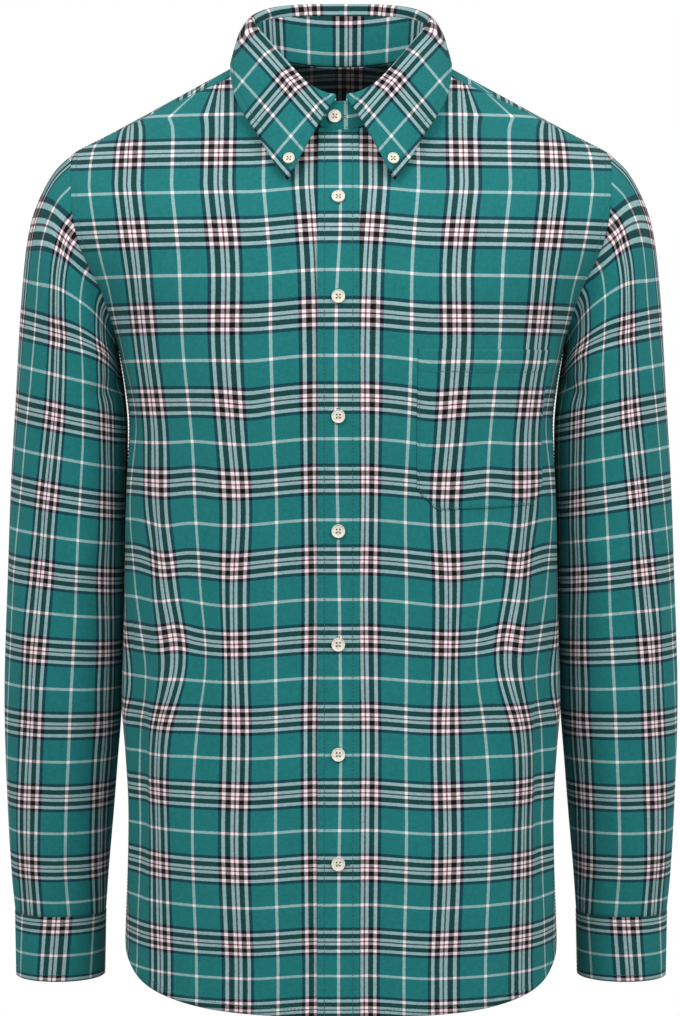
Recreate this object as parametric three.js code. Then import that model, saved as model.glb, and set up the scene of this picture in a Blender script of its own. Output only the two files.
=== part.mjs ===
// Long-sleeved flannel shirt with a button-down collar, in its worn form with nobody in it.
// Millimetres, +Z up. The front faces -Y and the wearer's left is +X.
// The origin is the centre of the neck opening, level with the points where shoulder meets collar.
import * as THREE from 'three';

const { lerp, clamp, smoothstep, degToRad } = THREE.MathUtils;
const RIGHT_ANGLE = Math.PI / 2;
const HALVINGS = 40; // enough to find a height to well under a hundredth of a millimetre

// Cloth
const CLOTH = 1.6; // wall of a panel, with the fullness of its brushed face
const FOLDED = 2; // wall of the placket, the cuffs and the collar, which are several layers
const SEAM = 0.3; // between neighbours that are sewn together
const PATCH = 1.2; // wall of the pocket and of the sleeve plackets
const EASE = 0.1; // spare room where one layer lies on another

// Body: horizontal sections from the shoulder down. width is half the width, front and back are
// the depths before and behind the neck's centre, and square is the exponent of the oval.
// Between the shoulder and the armpit the section runs on past the armhole, where the panel ends.
const BODY = [
  { z: 10, width: 53.6, front: 23, back: 37, square: 2 },
  { z: 0, width: 72, front: 30, back: 44, square: 2 },
  { z: -20, width: 108.7, front: 41, back: 57, square: 2 },
  { z: -45, width: 154.6, front: 52, back: 71, square: 2 },
  { z: -70, width: 200.4, front: 62, back: 83, square: 2 },
  { z: -85, width: 228, front: 72, back: 90, square: 2.05 },
  { z: -105, width: 248, front: 85, back: 98, square: 2.1 },
  { z: -130, width: 251, front: 100, back: 107, square: 2.2 },
  { z: -155, width: 242, front: 112, back: 114, square: 2.3 },
  { z: -175, width: 230, front: 118, back: 118, square: 2.35 },
  { z: -200, width: 211, front: 124, back: 122, square: 2.4 },
  { z: -220, width: 200, front: 126.5, back: 124, square: 2.4 },
  { z: -240, width: 191, front: 128, back: 126, square: 2.45 },
  { z: -255, width: 187, front: 129, back: 126, square: 2.5 },
  { z: -280, width: 182.5, front: 130, back: 125, square: 2.5 },
  { z: -310, width: 179, front: 130, back: 123, square: 2.5 },
  { z: -345, width: 180, front: 128.5, back: 120, square: 2.5 },
  { z: -385, width: 181.5, front: 127, back: 116, square: 2.5 },
  { z: -440, width: 182.5, front: 125, back: 112, square: 2.5 },
  { z: -500, width: 184, front: 124, back: 113, square: 2.5 },
  { z: -550, width: 185, front: 125, back: 116, square: 2.5 },
  { z: -590, width: 182, front: 127, back: 119, square: 2.5 },
  { z: -630, width: 179.5, front: 128.5, back: 122, square: 2.5 },
  { z: -670, width: 179.5, front: 130, back: 124, square: 2.5 },
  { z: -730, width: 181.5, front: 131, back: 126, square: 2.5 },
  { z: -810, width: 183, front: 132, back: 127, square: 2.5 },
];

// Degrees from the side seam over which the folds fade in
const SIDE_FADE = { from: 1, to: 9 };

// Largest folds of the body: the angle round the body from the centre front, the height, the
// half angle and half height over which each fades, its height off the cloth and its slant.
const BODY_FOLDS = [
  { angle: 57, z: -505, halfAngle: 6, halfHeight: 120, rise: 5, slant: 0.02 },
  { angle: 68, z: -600, halfAngle: 5, halfHeight: 110, rise: -4, slant: -0.02 },
  { angle: 76, z: -310, halfAngle: 6, halfHeight: 45, rise: -4, slant: 0.05 },
  { angle: 41, z: -450, halfAngle: 5, halfHeight: 110, rise: 2.5, slant: 0 },
  { angle: 112, z: -520, halfAngle: 8, halfHeight: 130, rise: -4, slant: 0.02 },
  { angle: 128, z: -430, halfAngle: 8, halfHeight: 150, rise: 4, slant: -0.02 },
  { angle: 150, z: -560, halfAngle: 8, halfHeight: 140, rise: -3, slant: 0 },
];

// Heights between which the shoulders' cloth lies
const SHOULDERS = { top: 10, bottom: -140 };

// Neck opening, an oval in plan. The yoke reaches forward of the shoulder to yokeAngle.
const NECK = { width: 72, front: 62, back: 48, yokeAngle: degToRad(71) };
const NECK_STEPS = [27, 42, 56.5, 71].map(degToRad); // angles of the fronts' corners round the neck

// Armhole, an oval seen from the side
const ARMHOLE = { top: -85, bottom: -247, front: 56, back: 62 };

// Yoke: where its front seam meets the armhole, how far that seam bows forward, and its back seam
const YOKE = { armholeY: -6, bow: 5, backSeam: -95, gap: 0.35 };

// Shirt-tail hem
const HEM = { front: -792, back: -799, rise: 57, power: 3.6, halfFront: 235 };

// Button placket, measured round the front from the centre line. The right front runs on under it.
const PLACKET = { left: -18.5, right: 14.5, rightFrontEdge: 13, stepWidth: 12, topGap: 1 };
const PLACKET_LIFT = CLOTH / 2 + SEAM + EASE + FOLDED / 2;

// Breast pocket on the wearer's left, as distances round the front and heights
const POCKET = { inner: 62, outer: 186, top: -252, bottom: -382, corner: 16 };

// Sleeve: each row is a ring through an outer and an inner point, with the y of its axis, its
// front and its back. seat is how much of the armhole's own curve the ring still follows.
const SLEEVE = [
  { outerX: 242, outerZ: -98, innerX: 190.2, innerZ: -253, axis: 1, front: -57, back: 64, seat: 0.8 },
  { outerX: 253, outerZ: -116, innerX: 188.4, innerZ: -263, axis: 2, front: -60, back: 67, seat: 0.6 },
  { outerX: 261.5, outerZ: -137, innerX: 186, innerZ: -276, axis: 3, front: -61, back: 69, seat: 0.4 },
  { outerX: 266.5, outerZ: -161, innerX: 183.8, innerZ: -291, axis: 4, front: -61, back: 70, seat: 0.22 },
  { outerX: 269.6, outerZ: -189, innerX: 182, innerZ: -311, axis: 5, front: -60, back: 71, seat: 0.1 },
  { outerX: 272.5, outerZ: -222, innerX: 182.2, innerZ: -335, axis: 7, front: -59, back: 72, seat: 0 },
  { outerX: 275.2, outerZ: -260, innerX: 183.2, innerZ: -363, axis: 9, front: -57, back: 73, seat: 0 },
  { outerX: 277.8, outerZ: -304, innerX: 184, innerZ: -395, axis: 11, front: -54, back: 74, seat: 0 },
  { outerX: 280.6, outerZ: -354, innerX: 184.8, innerZ: -432, axis: 13, front: -51, back: 75, seat: 0 },
  { outerX: 283.3, outerZ: -412, innerX: 185.8, innerZ: -472, axis: 15, front: -47, back: 76, seat: 0 },
  { outerX: 286, outerZ: -478, innerX: 186.8, innerZ: -514, axis: 17, front: -43, back: 77, seat: 0 },
  { outerX: 287.4, outerZ: -542, innerX: 188.2, innerZ: -557, axis: 19, front: -39, back: 77, seat: 0 },
  { outerX: 286.8, outerZ: -602, innerX: 192.4, innerZ: -604, axis: 21, front: -34, back: 77, seat: 0 },
  { outerX: 284.8, outerZ: -654, innerX: 196.4, innerZ: -654, axis: 23, front: -28, back: 75, seat: 0 },
  { outerX: 281.6, outerZ: -700, innerX: 200, innerZ: -700, axis: 24, front: -22, back: 71, seat: 0 },
  { outerX: 278.8, outerZ: -730, innerX: 202.2, innerZ: -730, axis: 25, front: -17, back: 67, seat: 0 },
];

// Cuff below the sleeve, buttoned where its ends lap at the back
const LAP_LIFT = FOLDED + SEAM + EASE; // of an end that lies over another, in the cuffs and the collar stand
const CUFF = { height: 54, taper: 1, lapAngle: degToRad(300), lap: degToRad(26), liftFrom: 0.72 };
const SLEEVE_PLACKET = { rings: 3.4, fromColumn: 13.3, toColumn: 14.6 };

// Collar, half of it from the centre front to the centre back. Each row has the angle round the
// neck, the height and outward lean of the stand, the rise of the fold over it, and the leaf's edge.
const COLLAR = [
  { angle: 4, stand: 25, lean: -4, fold: 3.4, edgeX: 44, edgeY: -95, edgeZ: -112, belly: 4 },
  { angle: 14, stand: 25, lean: -4, fold: 3.6, edgeX: 56, edgeY: -85, edgeZ: -95, belly: 5 },
  { angle: 26, stand: 25, lean: -3, fold: 4, edgeX: 68, edgeY: -73, edgeZ: -74, belly: 4.5 },
  { angle: 40, stand: 25, lean: -2, fold: 4.4, edgeX: 79, edgeY: -60, edgeZ: -57, belly: 4 },
  { angle: 56, stand: 23, lean: 0, fold: 4.8, edgeX: 89, edgeY: -42, edgeZ: -37, belly: 3.5 },
  { angle: 73, stand: 22, lean: 2, fold: 5, edgeX: 93, edgeY: -17, edgeZ: -10, belly: 3 },
  { angle: 90, stand: 23, lean: 3, fold: 5.4, edgeX: 90, edgeY: 10, edgeZ: -5, belly: 3 },
  { angle: 108, stand: 29, lean: 3, fold: 6, edgeX: 83, edgeY: 34, edgeZ: -8, belly: 3 },
  { angle: 127, stand: 36, lean: 3, fold: 7, edgeX: 67, edgeY: 52, edgeZ: -12, belly: 3 },
  { angle: 146, stand: 41, lean: 3, fold: 8, edgeX: 45, edgeY: 63, edgeZ: -16, belly: 3 },
  { angle: 163, stand: 44, lean: 3, fold: 8.4, edgeX: 22, edgeY: 68, edgeZ: -18, belly: 3 },
  { angle: 180, stand: 45, lean: 3, fold: 8.6, edgeX: 0, edgeY: 70, edgeZ: -19, belly: 3 },
];
const STAND = { lift: 1.7, leftEnd: -17, rightEnd: 13, nearEnd: 3, lapFrom: 25, lapTo: 80, cornerCut: 0.78 };
const LEAF = { seam: 0.8, radius: 3, restLift: CLOTH / 2 + FOLDED / 2 + 1, bellyOut: 0.8, bellyUp: 0.6, bellyPower: 0.8 };
const LEAF_FALLS = [0.12, 0.3, 0.5, 0.7, 0.86, 1]; // shares of the way from the fold to the edge

// The leaf's fold over the stand, out from the stand's top and up, in radii of the fold
const LEAF_FOLD = [
  { out: 0.25, up: 0.1 },
  { out: 1, up: 0.7 },
  { out: 1.85, up: -0.3 },
];

// Buttons
const BUTTON = { radius: 5.5, thickness: 2.2, rim: 1.1, dish: 0.6, gap: 0.3 };
const POINT_BUTTON = { radius: 4.8, thickness: 2, rim: 1, dish: 0.5, gap: 0.3 };
const BUTTON_X = -2.2;
const BUTTON_ROWS = [-127, -209, -306, -399, -491, -580, -668];
const COLLAR_BUTTON = { x: -5, up: 0.45 };
const POINT_BUTTON_PLACE = { column: 0.45, rowsFromEdge: 1.1 };
const CUFF_BUTTON_PLACE = { row: 1, columnsFromEnd: 0.8 };

// Number of steps along each shared seam, so that neighbours have their corners side by side
const STEPS = {
  shoulder: 7, backNeck: 5, frontArmhole: 8, yokeArmhole: 6, backArmhole: 8, below: 14,
  cuffRows: 2, cuffColumns: 24, button: 14,
};

// Colours
const FLANNEL = { color: 0x1f7577, roughness: 0.95, metalness: 0 };
const TRIM = { color: 0x1a6467, roughness: 0.95, metalness: 0 };
const SHELL = { color: 0xebe8d7, roughness: 0.35, metalness: 0 };

const shirt = new THREE.Group();

function addPiece(name, geometry, look) {
  const mesh = new THREE.Mesh(geometry, new THREE.MeshStandardMaterial(look));
  mesh.name = name;
  shirt.add(mesh);
}

// A value of a table at a height, on a smooth curve through its rows.
function valueAt(table, column, z) {
  const last = table.length - 1;
  let row = 0;
  while (row < last - 1 && z < table[row + 1].z) row += 1;
  const slope = (i) => {
    const above = table[Math.max(i - 1, 0)];
    const below = table[Math.min(i + 1, last)];
    return (below[column] - above[column]) / (below.z - above.z);
  };
  const from = table[row];
  const to = table[row + 1];
  const step = to.z - from.z;
  const t = clamp((z - from.z) / step, 0, 1);
  const tt = t * t;
  const ttt = tt * t;
  return (2 * ttt - 3 * tt + 1) * from[column] + (ttt - 2 * tt + t) * step * slope(row)
    + (3 * tt - 2 * ttt) * to[column] + (ttt - tt) * step * slope(row + 1);
}

function sectionAt(z) {
  return {
    width: valueAt(BODY, 'width', z),
    front: valueAt(BODY, 'front', z),
    back: valueAt(BODY, 'back', z),
    square: valueAt(BODY, 'square', z),
  };
}

// Height of the folds over the smooth body, fading to nothing at the angles of the side seams.
function foldHeight(angle, z) {
  const degrees = Math.abs(THREE.MathUtils.radToDeg(angle));
  const fromSide = Math.abs(degrees - 90);
  const fade = smoothstep(fromSide, SIDE_FADE.from, SIDE_FADE.to);
  return fade * BODY_FOLDS.reduce((sum, fold) => {
    const across = (degrees - fold.angle - fold.slant * (z - fold.z)) / fold.halfAngle;
    const along = (z - fold.z) / fold.halfHeight;
    return sum + fold.rise * Math.exp(-across * across - along * along);
  }, 0);
}

// Distance of the body's section from the neck's axis at an angle.
function sectionRadius(angle, section) {
  const depth = Math.cos(angle) > 0 ? section.front : section.back;
  const sine = Math.abs(Math.sin(angle)) / section.width;
  const cosine = Math.abs(Math.cos(angle)) / depth;
  return (sine ** section.square + cosine ** section.square) ** (-1 / section.square);
}

// A point of the body's cloth at an angle round it from the centre front, moved out by lift.
function bodyPoint(angle, z, lift = 0) {
  const section = sectionAt(z);
  const depth = Math.cos(angle) > 0 ? section.front : section.back;
  const power = section.square - 1;
  const radius = sectionRadius(angle, section);
  const x = radius * Math.sin(angle);
  const y = -radius * Math.cos(angle);
  const step = 2;
  const slope = (sectionRadius(angle, sectionAt(z - step)) - sectionRadius(angle, sectionAt(z + step))) / (2 * step);
  const outward = new THREE.Vector2(
    Math.sign(x) * (Math.abs(x) / section.width) ** power / section.width,
    Math.sign(y) * (Math.abs(y) / depth) ** power / depth,
  ).normalize().multiplyScalar(lift * Math.hypot(1, slope) + foldHeight(angle, z));
  return new THREE.Vector3(x + outward.x, y + outward.y, z);
}

// Height of the shoulders' cloth over a point in plan, found by halving a range that holds it.
function shoulderHeight(x, y) {
  let above = SHOULDERS.top;
  let below = SHOULDERS.bottom;
  for (let i = 0; i < HALVINGS; i += 1) {
    const z = (above + below) / 2;
    const section = sectionAt(z);
    const depth = y < 0 ? section.front : section.back;
    const reach = (Math.abs(x) / section.width) ** section.square + (Math.abs(y) / depth) ** section.square;
    if (reach > 1) above = z;
    else below = z;
  }
  return (above + below) / 2;
}

// Angle round the body at which the cloth, measured from the centre front, has run a distance.
function angleAtDistance(z, distance) {
  const step = degToRad(1.5);
  let run = 0;
  let angle = 0;
  let from = bodyPoint(0, z);
  while (angle < Math.PI) {
    const to = bodyPoint(angle + step, z);
    const length = from.distanceTo(to);
    if (run + length >= Math.abs(distance)) break;
    run += length;
    angle += step;
    from = to;
  }
  const length = from.distanceTo(bodyPoint(angle + step, z));
  return Math.sign(distance) * (angle + step * (Math.abs(distance) - run) / length);
}

// Angles at even distances along the section at a height.
function evenAngles(z, from, to, steps) {
  const fine = 60;
  const runs = [0];
  for (let i = 1; i <= fine; i += 1) {
    const a = bodyPoint(lerp(from, to, (i - 1) / fine), z);
    const b = bodyPoint(lerp(from, to, i / fine), z);
    runs.push(runs[i - 1] + a.distanceTo(b));
  }
  return Array.from({ length: steps + 1 }, (_, j) => {
    const run = runs[fine] * j / steps;
    let i = 1;
    while (i < fine && runs[i] < run) i += 1;
    return lerp(from, to, (i - 1 + (run - runs[i - 1]) / (runs[i] - runs[i - 1])) / fine);
  });
}

// Surface patch between four sides, each a list of [a, b] pairs, blended as a Coons patch.
function blendPatch(top, bottom, left, right) {
  const rows = left.length - 1;
  const columns = top.length - 1;
  return left.map((_, i) => top.map((__, j) => {
    const down = i / rows;
    const across = j / columns;
    return [0, 1].map((k) => lerp(top[j][k], bottom[j][k], down) + lerp(left[i][k], right[i][k], across)
      - lerp(lerp(top[0][k], top[columns][k], across), lerp(bottom[0][k], bottom[columns][k], across), down));
  }));
}

// Angle round the neck at which the left front meets the placket.
function placketAngle() {
  return Math.asin((PLACKET.right + SEAM) / NECK.width);
}

function neckPlan(angle) {
  const depth = Math.cos(angle) > 0 ? NECK.front : NECK.back;
  return [NECK.width * Math.sin(angle), -depth * Math.cos(angle)];
}

// Yoke seam over the front of the shoulder, in plan: 0 at the neck and 1 at the armhole.
function yokeSeamPlan(t) {
  const [neckX, neckY] = neckPlan(NECK.yokeAngle);
  const end = armholePoint(armholeAngleAtY(YOKE.armholeY));
  return [lerp(neckX, end.x, t), lerp(neckY, end.y, t) - YOKE.bow * Math.sin(Math.PI * Math.sqrt(t))];
}

// A point of the armhole: angle 0 at the shoulder, growing over the front to 180 at the armpit.
// Negative angles are behind.
function armholePoint(angle) {
  const middle = (ARMHOLE.top + ARMHOLE.bottom) / 2;
  const z = middle + (ARMHOLE.top - middle) * Math.cos(angle);
  const depth = Math.sin(angle) > 0 ? ARMHOLE.front : ARMHOLE.back;
  const y = -depth * Math.sin(angle);
  const section = sectionAt(z);
  const reach = (Math.abs(y) / (y < 0 ? section.front : section.back)) ** section.square;
  return new THREE.Vector3(section.width * (1 - reach) ** (1 / section.square), y, z);
}

function armholeAngleAtY(y) {
  return Math.asin(-y / ARMHOLE.front);
}

function armholeAngleAtZ(z) {
  const middle = (ARMHOLE.top + ARMHOLE.bottom) / 2;
  return Math.acos((z - middle) / (ARMHOLE.top - middle));
}

function span(from, to, steps) {
  return Array.from({ length: steps + 1 }, (_, i) => lerp(from, to, i / steps));
}

function angleAndHeight(point) {
  return [Math.atan2(point.x, -point.y), point.z];
}

// Armhole angles at the corners of the panels, in the order front, yoke, back.
const frontArmhole = span(armholeAngleAtY(YOKE.armholeY), Math.PI, STEPS.frontArmhole);
const yokeArmhole = span(armholeAngleAtY(YOKE.armholeY), -armholeAngleAtZ(YOKE.backSeam), STEPS.yokeArmhole);
const backArmhole = span(-armholeAngleAtZ(YOKE.backSeam), -Math.PI, STEPS.backArmhole);

// Height of the hem at a share of the way from the centre to the side seam.
function hemHeight(lowest, share) {
  return lerp(lowest, HEM.front + HEM.rise, share ** HEM.power);
}

// A closed wall about a grid of points, grid[row][column]. A ring joins its last column to its first.
function wall(grid, thickness, ring = false) {
  const rows = grid.length;
  const columns = grid[0].length;
  const at = (i, j) => grid[clamp(i, 0, rows - 1)][ring ? (j + columns) % columns : clamp(j, 0, columns - 1)];
  const positions = [];
  const half = thickness / 2;
  for (const side of [half, -half]) {
    for (let i = 0; i < rows; i += 1) {
      for (let j = 0; j < columns; j += 1) {
        const along = at(i, j + 1).clone().sub(at(i, j - 1));
        const down = at(i + 1, j).clone().sub(at(i - 1, j));
        const moved = along.cross(down).normalize().multiplyScalar(side).add(at(i, j));
        positions.push(moved.x, moved.y, moved.z);
      }
    }
  }
  const index = [];
  const outer = (i, j) => i * columns + (j % columns);
  const inner = (i, j) => rows * columns + outer(i, j);
  const quad = (a, b, c, d) => index.push(a, b, c, a, c, d);
  const lastColumn = ring ? columns : columns - 1;
  for (let i = 0; i < rows - 1; i += 1) {
    for (let j = 0; j < lastColumn; j += 1) {
      quad(outer(i, j), outer(i, j + 1), outer(i + 1, j + 1), outer(i + 1, j));
      quad(inner(i, j), inner(i + 1, j), inner(i + 1, j + 1), inner(i, j + 1));
    }
    if (!ring) {
      quad(outer(i, 0), outer(i + 1, 0), inner(i + 1, 0), inner(i, 0));
      quad(outer(i, lastColumn), inner(i, lastColumn), inner(i + 1, lastColumn), outer(i + 1, lastColumn));
    }
  }
  for (let j = 0; j < lastColumn; j += 1) {
    quad(outer(0, j), inner(0, j), inner(0, j + 1), outer(0, j + 1));
    quad(outer(rows - 1, j), outer(rows - 1, j + 1), inner(rows - 1, j + 1), inner(rows - 1, j));
  }
  return facingOut(positions, index);
}

// An indexed geometry whose triangles are turned to face out.
function facingOut(positions, index) {
  const corner = (k) => new THREE.Vector3().fromArray(positions, 3 * index[k]);
  let volume = 0;
  for (let k = 0; k < index.length; k += 3) volume += corner(k).dot(corner(k + 1).cross(corner(k + 2)));
  if (volume < 0) {
    for (let k = 0; k < index.length; k += 3) [index[k + 1], index[k + 2]] = [index[k + 2], index[k + 1]];
  }
  const geometry = new THREE.BufferGeometry();
  geometry.setAttribute('position', new THREE.Float32BufferAttribute(positions, 3));
  geometry.setIndex(index);
  return geometry;
}

function mirrored(grid) {
  return grid.map((row) => row.map((point) => new THREE.Vector3(-point.x, point.y, point.z)));
}

// One front panel as built on the wearer's left, from its centre edge to the armhole and side seam.
// edge is the centre edge's distance from the centre line, and stepped raises it to the placket.
function frontGrid(edge, stepped) {
  const lift = (angle, z) => {
    if (!stepped) return 0;
    const near = bodyPoint(angle, z).x - edge;
    return PLACKET_LIFT * (1 - smoothstep(near, 1, PLACKET.stepWidth));
  };
  const neckAngles = [placketAngle(), ...NECK_STEPS];
  if (edge < 0) neckAngles.unshift(Math.asin(edge / NECK.width), 0);
  const top = neckAngles.map((angle, i) => {
    const [x, y] = neckPlan(angle);
    const below = i === neckAngles.length - 1 ? YOKE.gap : 0;
    return [Math.atan2(x, -(y - below)), shoulderHeight(x, y - below)];
  });
  for (const t of span(0, 1, STEPS.shoulder).slice(1)) {
    const [x, y] = yokeSeamPlan(t);
    top.push([Math.atan2(x, -(y - YOKE.gap)), shoulderHeight(x, y - YOKE.gap)]);
  }
  const right = frontArmhole.map((angle) => angleAndHeight(armholePoint(angle)));
  right[0] = top[top.length - 1];
  const sideAngle = (z) => RIGHT_ANGLE - SEAM / 2 / sectionAt(z).width;
  right[right.length - 1] = [sideAngle(ARMHOLE.bottom), ARMHOLE.bottom];
  const columns = top.length - 1;
  const left = span(top[0][1], ARMHOLE.bottom, STEPS.frontArmhole).map((z) => [angleAtDistance(z, edge), z]);
  const bottom = evenAngles(ARMHOLE.bottom, angleAtDistance(ARMHOLE.bottom, edge), sideAngle(ARMHOLE.bottom), columns)
    .map((angle) => [angle, ARMHOLE.bottom]);
  const rows = blendPatch(top, bottom, left, right)
    .map((row) => row.map(([angle, z]) => bodyPoint(angle, z, lift(angle, z))));
  for (const down of span(0, 1, STEPS.below).slice(1)) {
    const level = lerp(ARMHOLE.bottom, HEM.front, down);
    const angles = evenAngles(level, angleAtDistance(level, edge), sideAngle(level), columns);
    rows.push(angles.map((angle, j) => {
      const share = lerp(Math.abs(edge) / HEM.halfFront, 1, j / columns);
      const z = lerp(ARMHOLE.bottom, hemHeight(HEM.front, share), down);
      return bodyPoint(angle, z, lift(angle, z));
    }));
  }
  return rows;
}

// Angles of the back's and the yoke's shared seam, from the centre back to the armhole.
function backSeamAngles() {
  const end = armholePoint(-armholeAngleAtZ(YOKE.backSeam));
  return evenAngles(YOKE.backSeam, Math.PI, Math.atan2(end.x, -end.y), STEPS.backNeck + STEPS.shoulder);
}

// Both halves of a grid that is given from the centre out.
function bothHalves(grid) {
  return grid.map((row) => [
    ...row.slice(1).reverse().map((point) => new THREE.Vector3(-point.x, point.y, point.z)),
    ...row,
  ]);
}

function backGrid() {
  const columns = STEPS.backNeck + STEPS.shoulder;
  const seam = YOKE.backSeam - SEAM / 2;
  const top = backSeamAngles().map((angle) => [angle, seam]);
  const right = backArmhole.map((angle) => angleAndHeight(armholePoint(angle)));
  right[0] = top[columns];
  const sideAngle = (z) => RIGHT_ANGLE + SEAM / 2 / sectionAt(z).width;
  right[right.length - 1] = [sideAngle(ARMHOLE.bottom), ARMHOLE.bottom];
  const left = span(seam, ARMHOLE.bottom, STEPS.backArmhole).map((z) => [Math.PI, z]);
  const bottom = evenAngles(ARMHOLE.bottom, Math.PI, sideAngle(ARMHOLE.bottom), columns)
    .map((angle) => [angle, ARMHOLE.bottom]);
  const rows = blendPatch(top, bottom, left, right).map((row) => row.map(([angle, z]) => bodyPoint(angle, z)));
  for (const down of span(0, 1, STEPS.below).slice(1)) {
    const level = lerp(ARMHOLE.bottom, HEM.front, down);
    const angles = evenAngles(level, Math.PI, sideAngle(level), columns);
    rows.push(angles.map((angle, j) => {
      const z = lerp(ARMHOLE.bottom, hemHeight(HEM.back, j / columns), down);
      return bodyPoint(angle, z);
    }));
  }
  return bothHalves(rows);
}

function yokeGrid() {
  const plan = (point) => [point.x, point.y];
  const top = span(Math.PI, NECK.yokeAngle, STEPS.backNeck).map(neckPlan);
  for (const t of span(0, 1, STEPS.shoulder).slice(1)) {
    const [x, y] = yokeSeamPlan(t);
    top.push([x, y + YOKE.gap]);
  }
  const bottom = backSeamAngles().map((angle) => plan(bodyPoint(angle, YOKE.backSeam + SEAM / 2)));
  const right = yokeArmhole.map((angle) => plan(armholePoint(angle)));
  right[0] = top[top.length - 1];
  right[right.length - 1] = bottom[bottom.length - 1];
  const left = span(top[0][1], bottom[0][1], STEPS.yokeArmhole).map((y) => [0, y]);
  return bothHalves(blendPatch(top, bottom, left, right)
    .map((row) => row.map(([x, y]) => new THREE.Vector3(x, y, shoulderHeight(x, y)))));
}

// Placket strip over the right front, with the rows of that front's centre edge.
function placketGrid(frontRows) {
  return frontRows.map((row, i) => {
    const z = row[0].z - (i === 0 ? PLACKET.topGap : 0);
    return span(PLACKET.left, PLACKET.right, 3).map((x) => bodyPoint(angleAtDistance(z, x), z, PLACKET_LIFT));
  });
}

// Where a point lies on the lines of a grid: the fractional row and column nearest to a target.
function pointOnGrid(grid, row, column) {
  const i = clamp(Math.floor(row), 0, grid.length - 2);
  const j = clamp(Math.floor(column), 0, grid[0].length - 2);
  const upper = grid[i][j].clone().lerp(grid[i][j + 1], column - j);
  const lower = grid[i + 1][j].clone().lerp(grid[i + 1][j + 1], column - j);
  return upper.lerp(lower, row - i);
}

// Outward normal of a grid at a fractional row and column.
function normalOnGrid(grid, row, column) {
  const step = 0.4;
  const across = pointOnGrid(grid, row, column + step).sub(pointOnGrid(grid, row, column - step));
  const down = pointOnGrid(grid, row + step, column).sub(pointOnGrid(grid, row - step, column));
  return down.cross(across).normalize();
}

// The lines of a grid between two values, with the two values as ends.
function linesBetween(from, to) {
  const lines = [from];
  for (let line = Math.floor(from) + 1; line < to; line += 1) {
    if (line - lines[lines.length - 1] > 0.15 && to - line > 0.15) lines.push(line);
  }
  lines.push(to);
  return lines;
}

// A piece that lies on a panel, made of the panel's points moved out.
function laidOn(grid, rowLines, columnLines, lift) {
  return rowLines.map((row) => columnLines(row)
    .map((column) => pointOnGrid(grid, row, column).addScaledVector(normalOnGrid(grid, row, column), lift)));
}

// Fractional column at which a row of the front has run a distance from the centre line.
function columnAtDistance(grid, row, distance) {
  let run = grid[0][0].x;
  for (let j = 0; j < grid[0].length - 1; j += 1) {
    const length = pointOnGrid(grid, row, j).distanceTo(pointOnGrid(grid, row, j + 1));
    if (run + length >= distance) return j + (distance - run) / length;
    run += length;
  }
  return grid[0].length - 1;
}

// Fractional row at which the centre edge of a front passes a height.
function rowAtHeight(grid, z) {
  let i = 0;
  while (i < grid.length - 2 && grid[i + 1][0].z > z) i += 1;
  return i + (grid[i][0].z - z) / (grid[i][0].z - grid[i + 1][0].z);
}

function pocketGrid(front) {
  const topRow = rowAtHeight(front, POCKET.top);
  const bottomRow = rowAtHeight(front, POCKET.bottom);
  const cornerRow = rowAtHeight(front, POCKET.bottom + POCKET.corner);
  const rows = [...linesBetween(topRow, cornerRow), bottomRow];
  const middle = (topRow + bottomRow) / 2;
  const inner = columnAtDistance(front, middle, POCKET.inner);
  const outer = columnAtDistance(front, middle, POCKET.outer);
  const cornerWidth = columnAtDistance(front, middle, POCKET.inner + POCKET.corner) - inner;
  const lift = CLOTH / 2 + SEAM + EASE + PATCH / 2;
  const full = linesBetween(inner, outer);
  return laidOn(front, rows, (row) => {
    const narrow = row === bottomRow ? cornerWidth : 0;
    return full.map((column, i) => {
      if (i === 0) return column + narrow;
      return i === full.length - 1 ? column - narrow : column;
    });
  }, lift);
}

// Rings of the left sleeve, from the armhole to the cuff.
function sleeveGrid() {
  const angles = [...frontArmhole.slice(0, -1).reverse(), ...yokeArmhole.slice(1), ...backArmhole.slice(1)];
  const flatRing = (ring, angle) => {
    const outer = new THREE.Vector3(ring.outerX, 0, ring.outerZ);
    const inner = new THREE.Vector3(ring.innerX, 0, ring.innerZ);
    const reach = Math.sin(angle) > 0 ? ring.front - ring.axis : ring.back - ring.axis;
    const point = inner.lerp(outer, (1 + Math.cos(angle)) / 2);
    point.y = ring.axis + reach * Math.abs(Math.sin(angle));
    return point;
  };
  const shoulder = armholePoint(0);
  const armpit = armholePoint(Math.PI);
  const seatRing = {
    outerX: shoulder.x, outerZ: shoulder.z, innerX: armpit.x, innerZ: armpit.z, axis: 0, front: -ARMHOLE.front,
    back: ARMHOLE.back,
  };
  const clear = (angle) => lerp(SEAM + EASE, CLOTH + SEAM + 2 * EASE, (1 - Math.cos(angle)) / 2);
  const first = angles.map((angle) => {
    const point = armholePoint(angle);
    point.x += clear(angle);
    return point;
  });
  const rest = SLEEVE.map((ring) => angles.map((angle) => {
    const off = armholePoint(angle).sub(flatRing(seatRing, angle)).multiplyScalar(ring.seat);
    return flatRing(ring, angle).add(off);
  }));
  return [first, ...rest];
}

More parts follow.
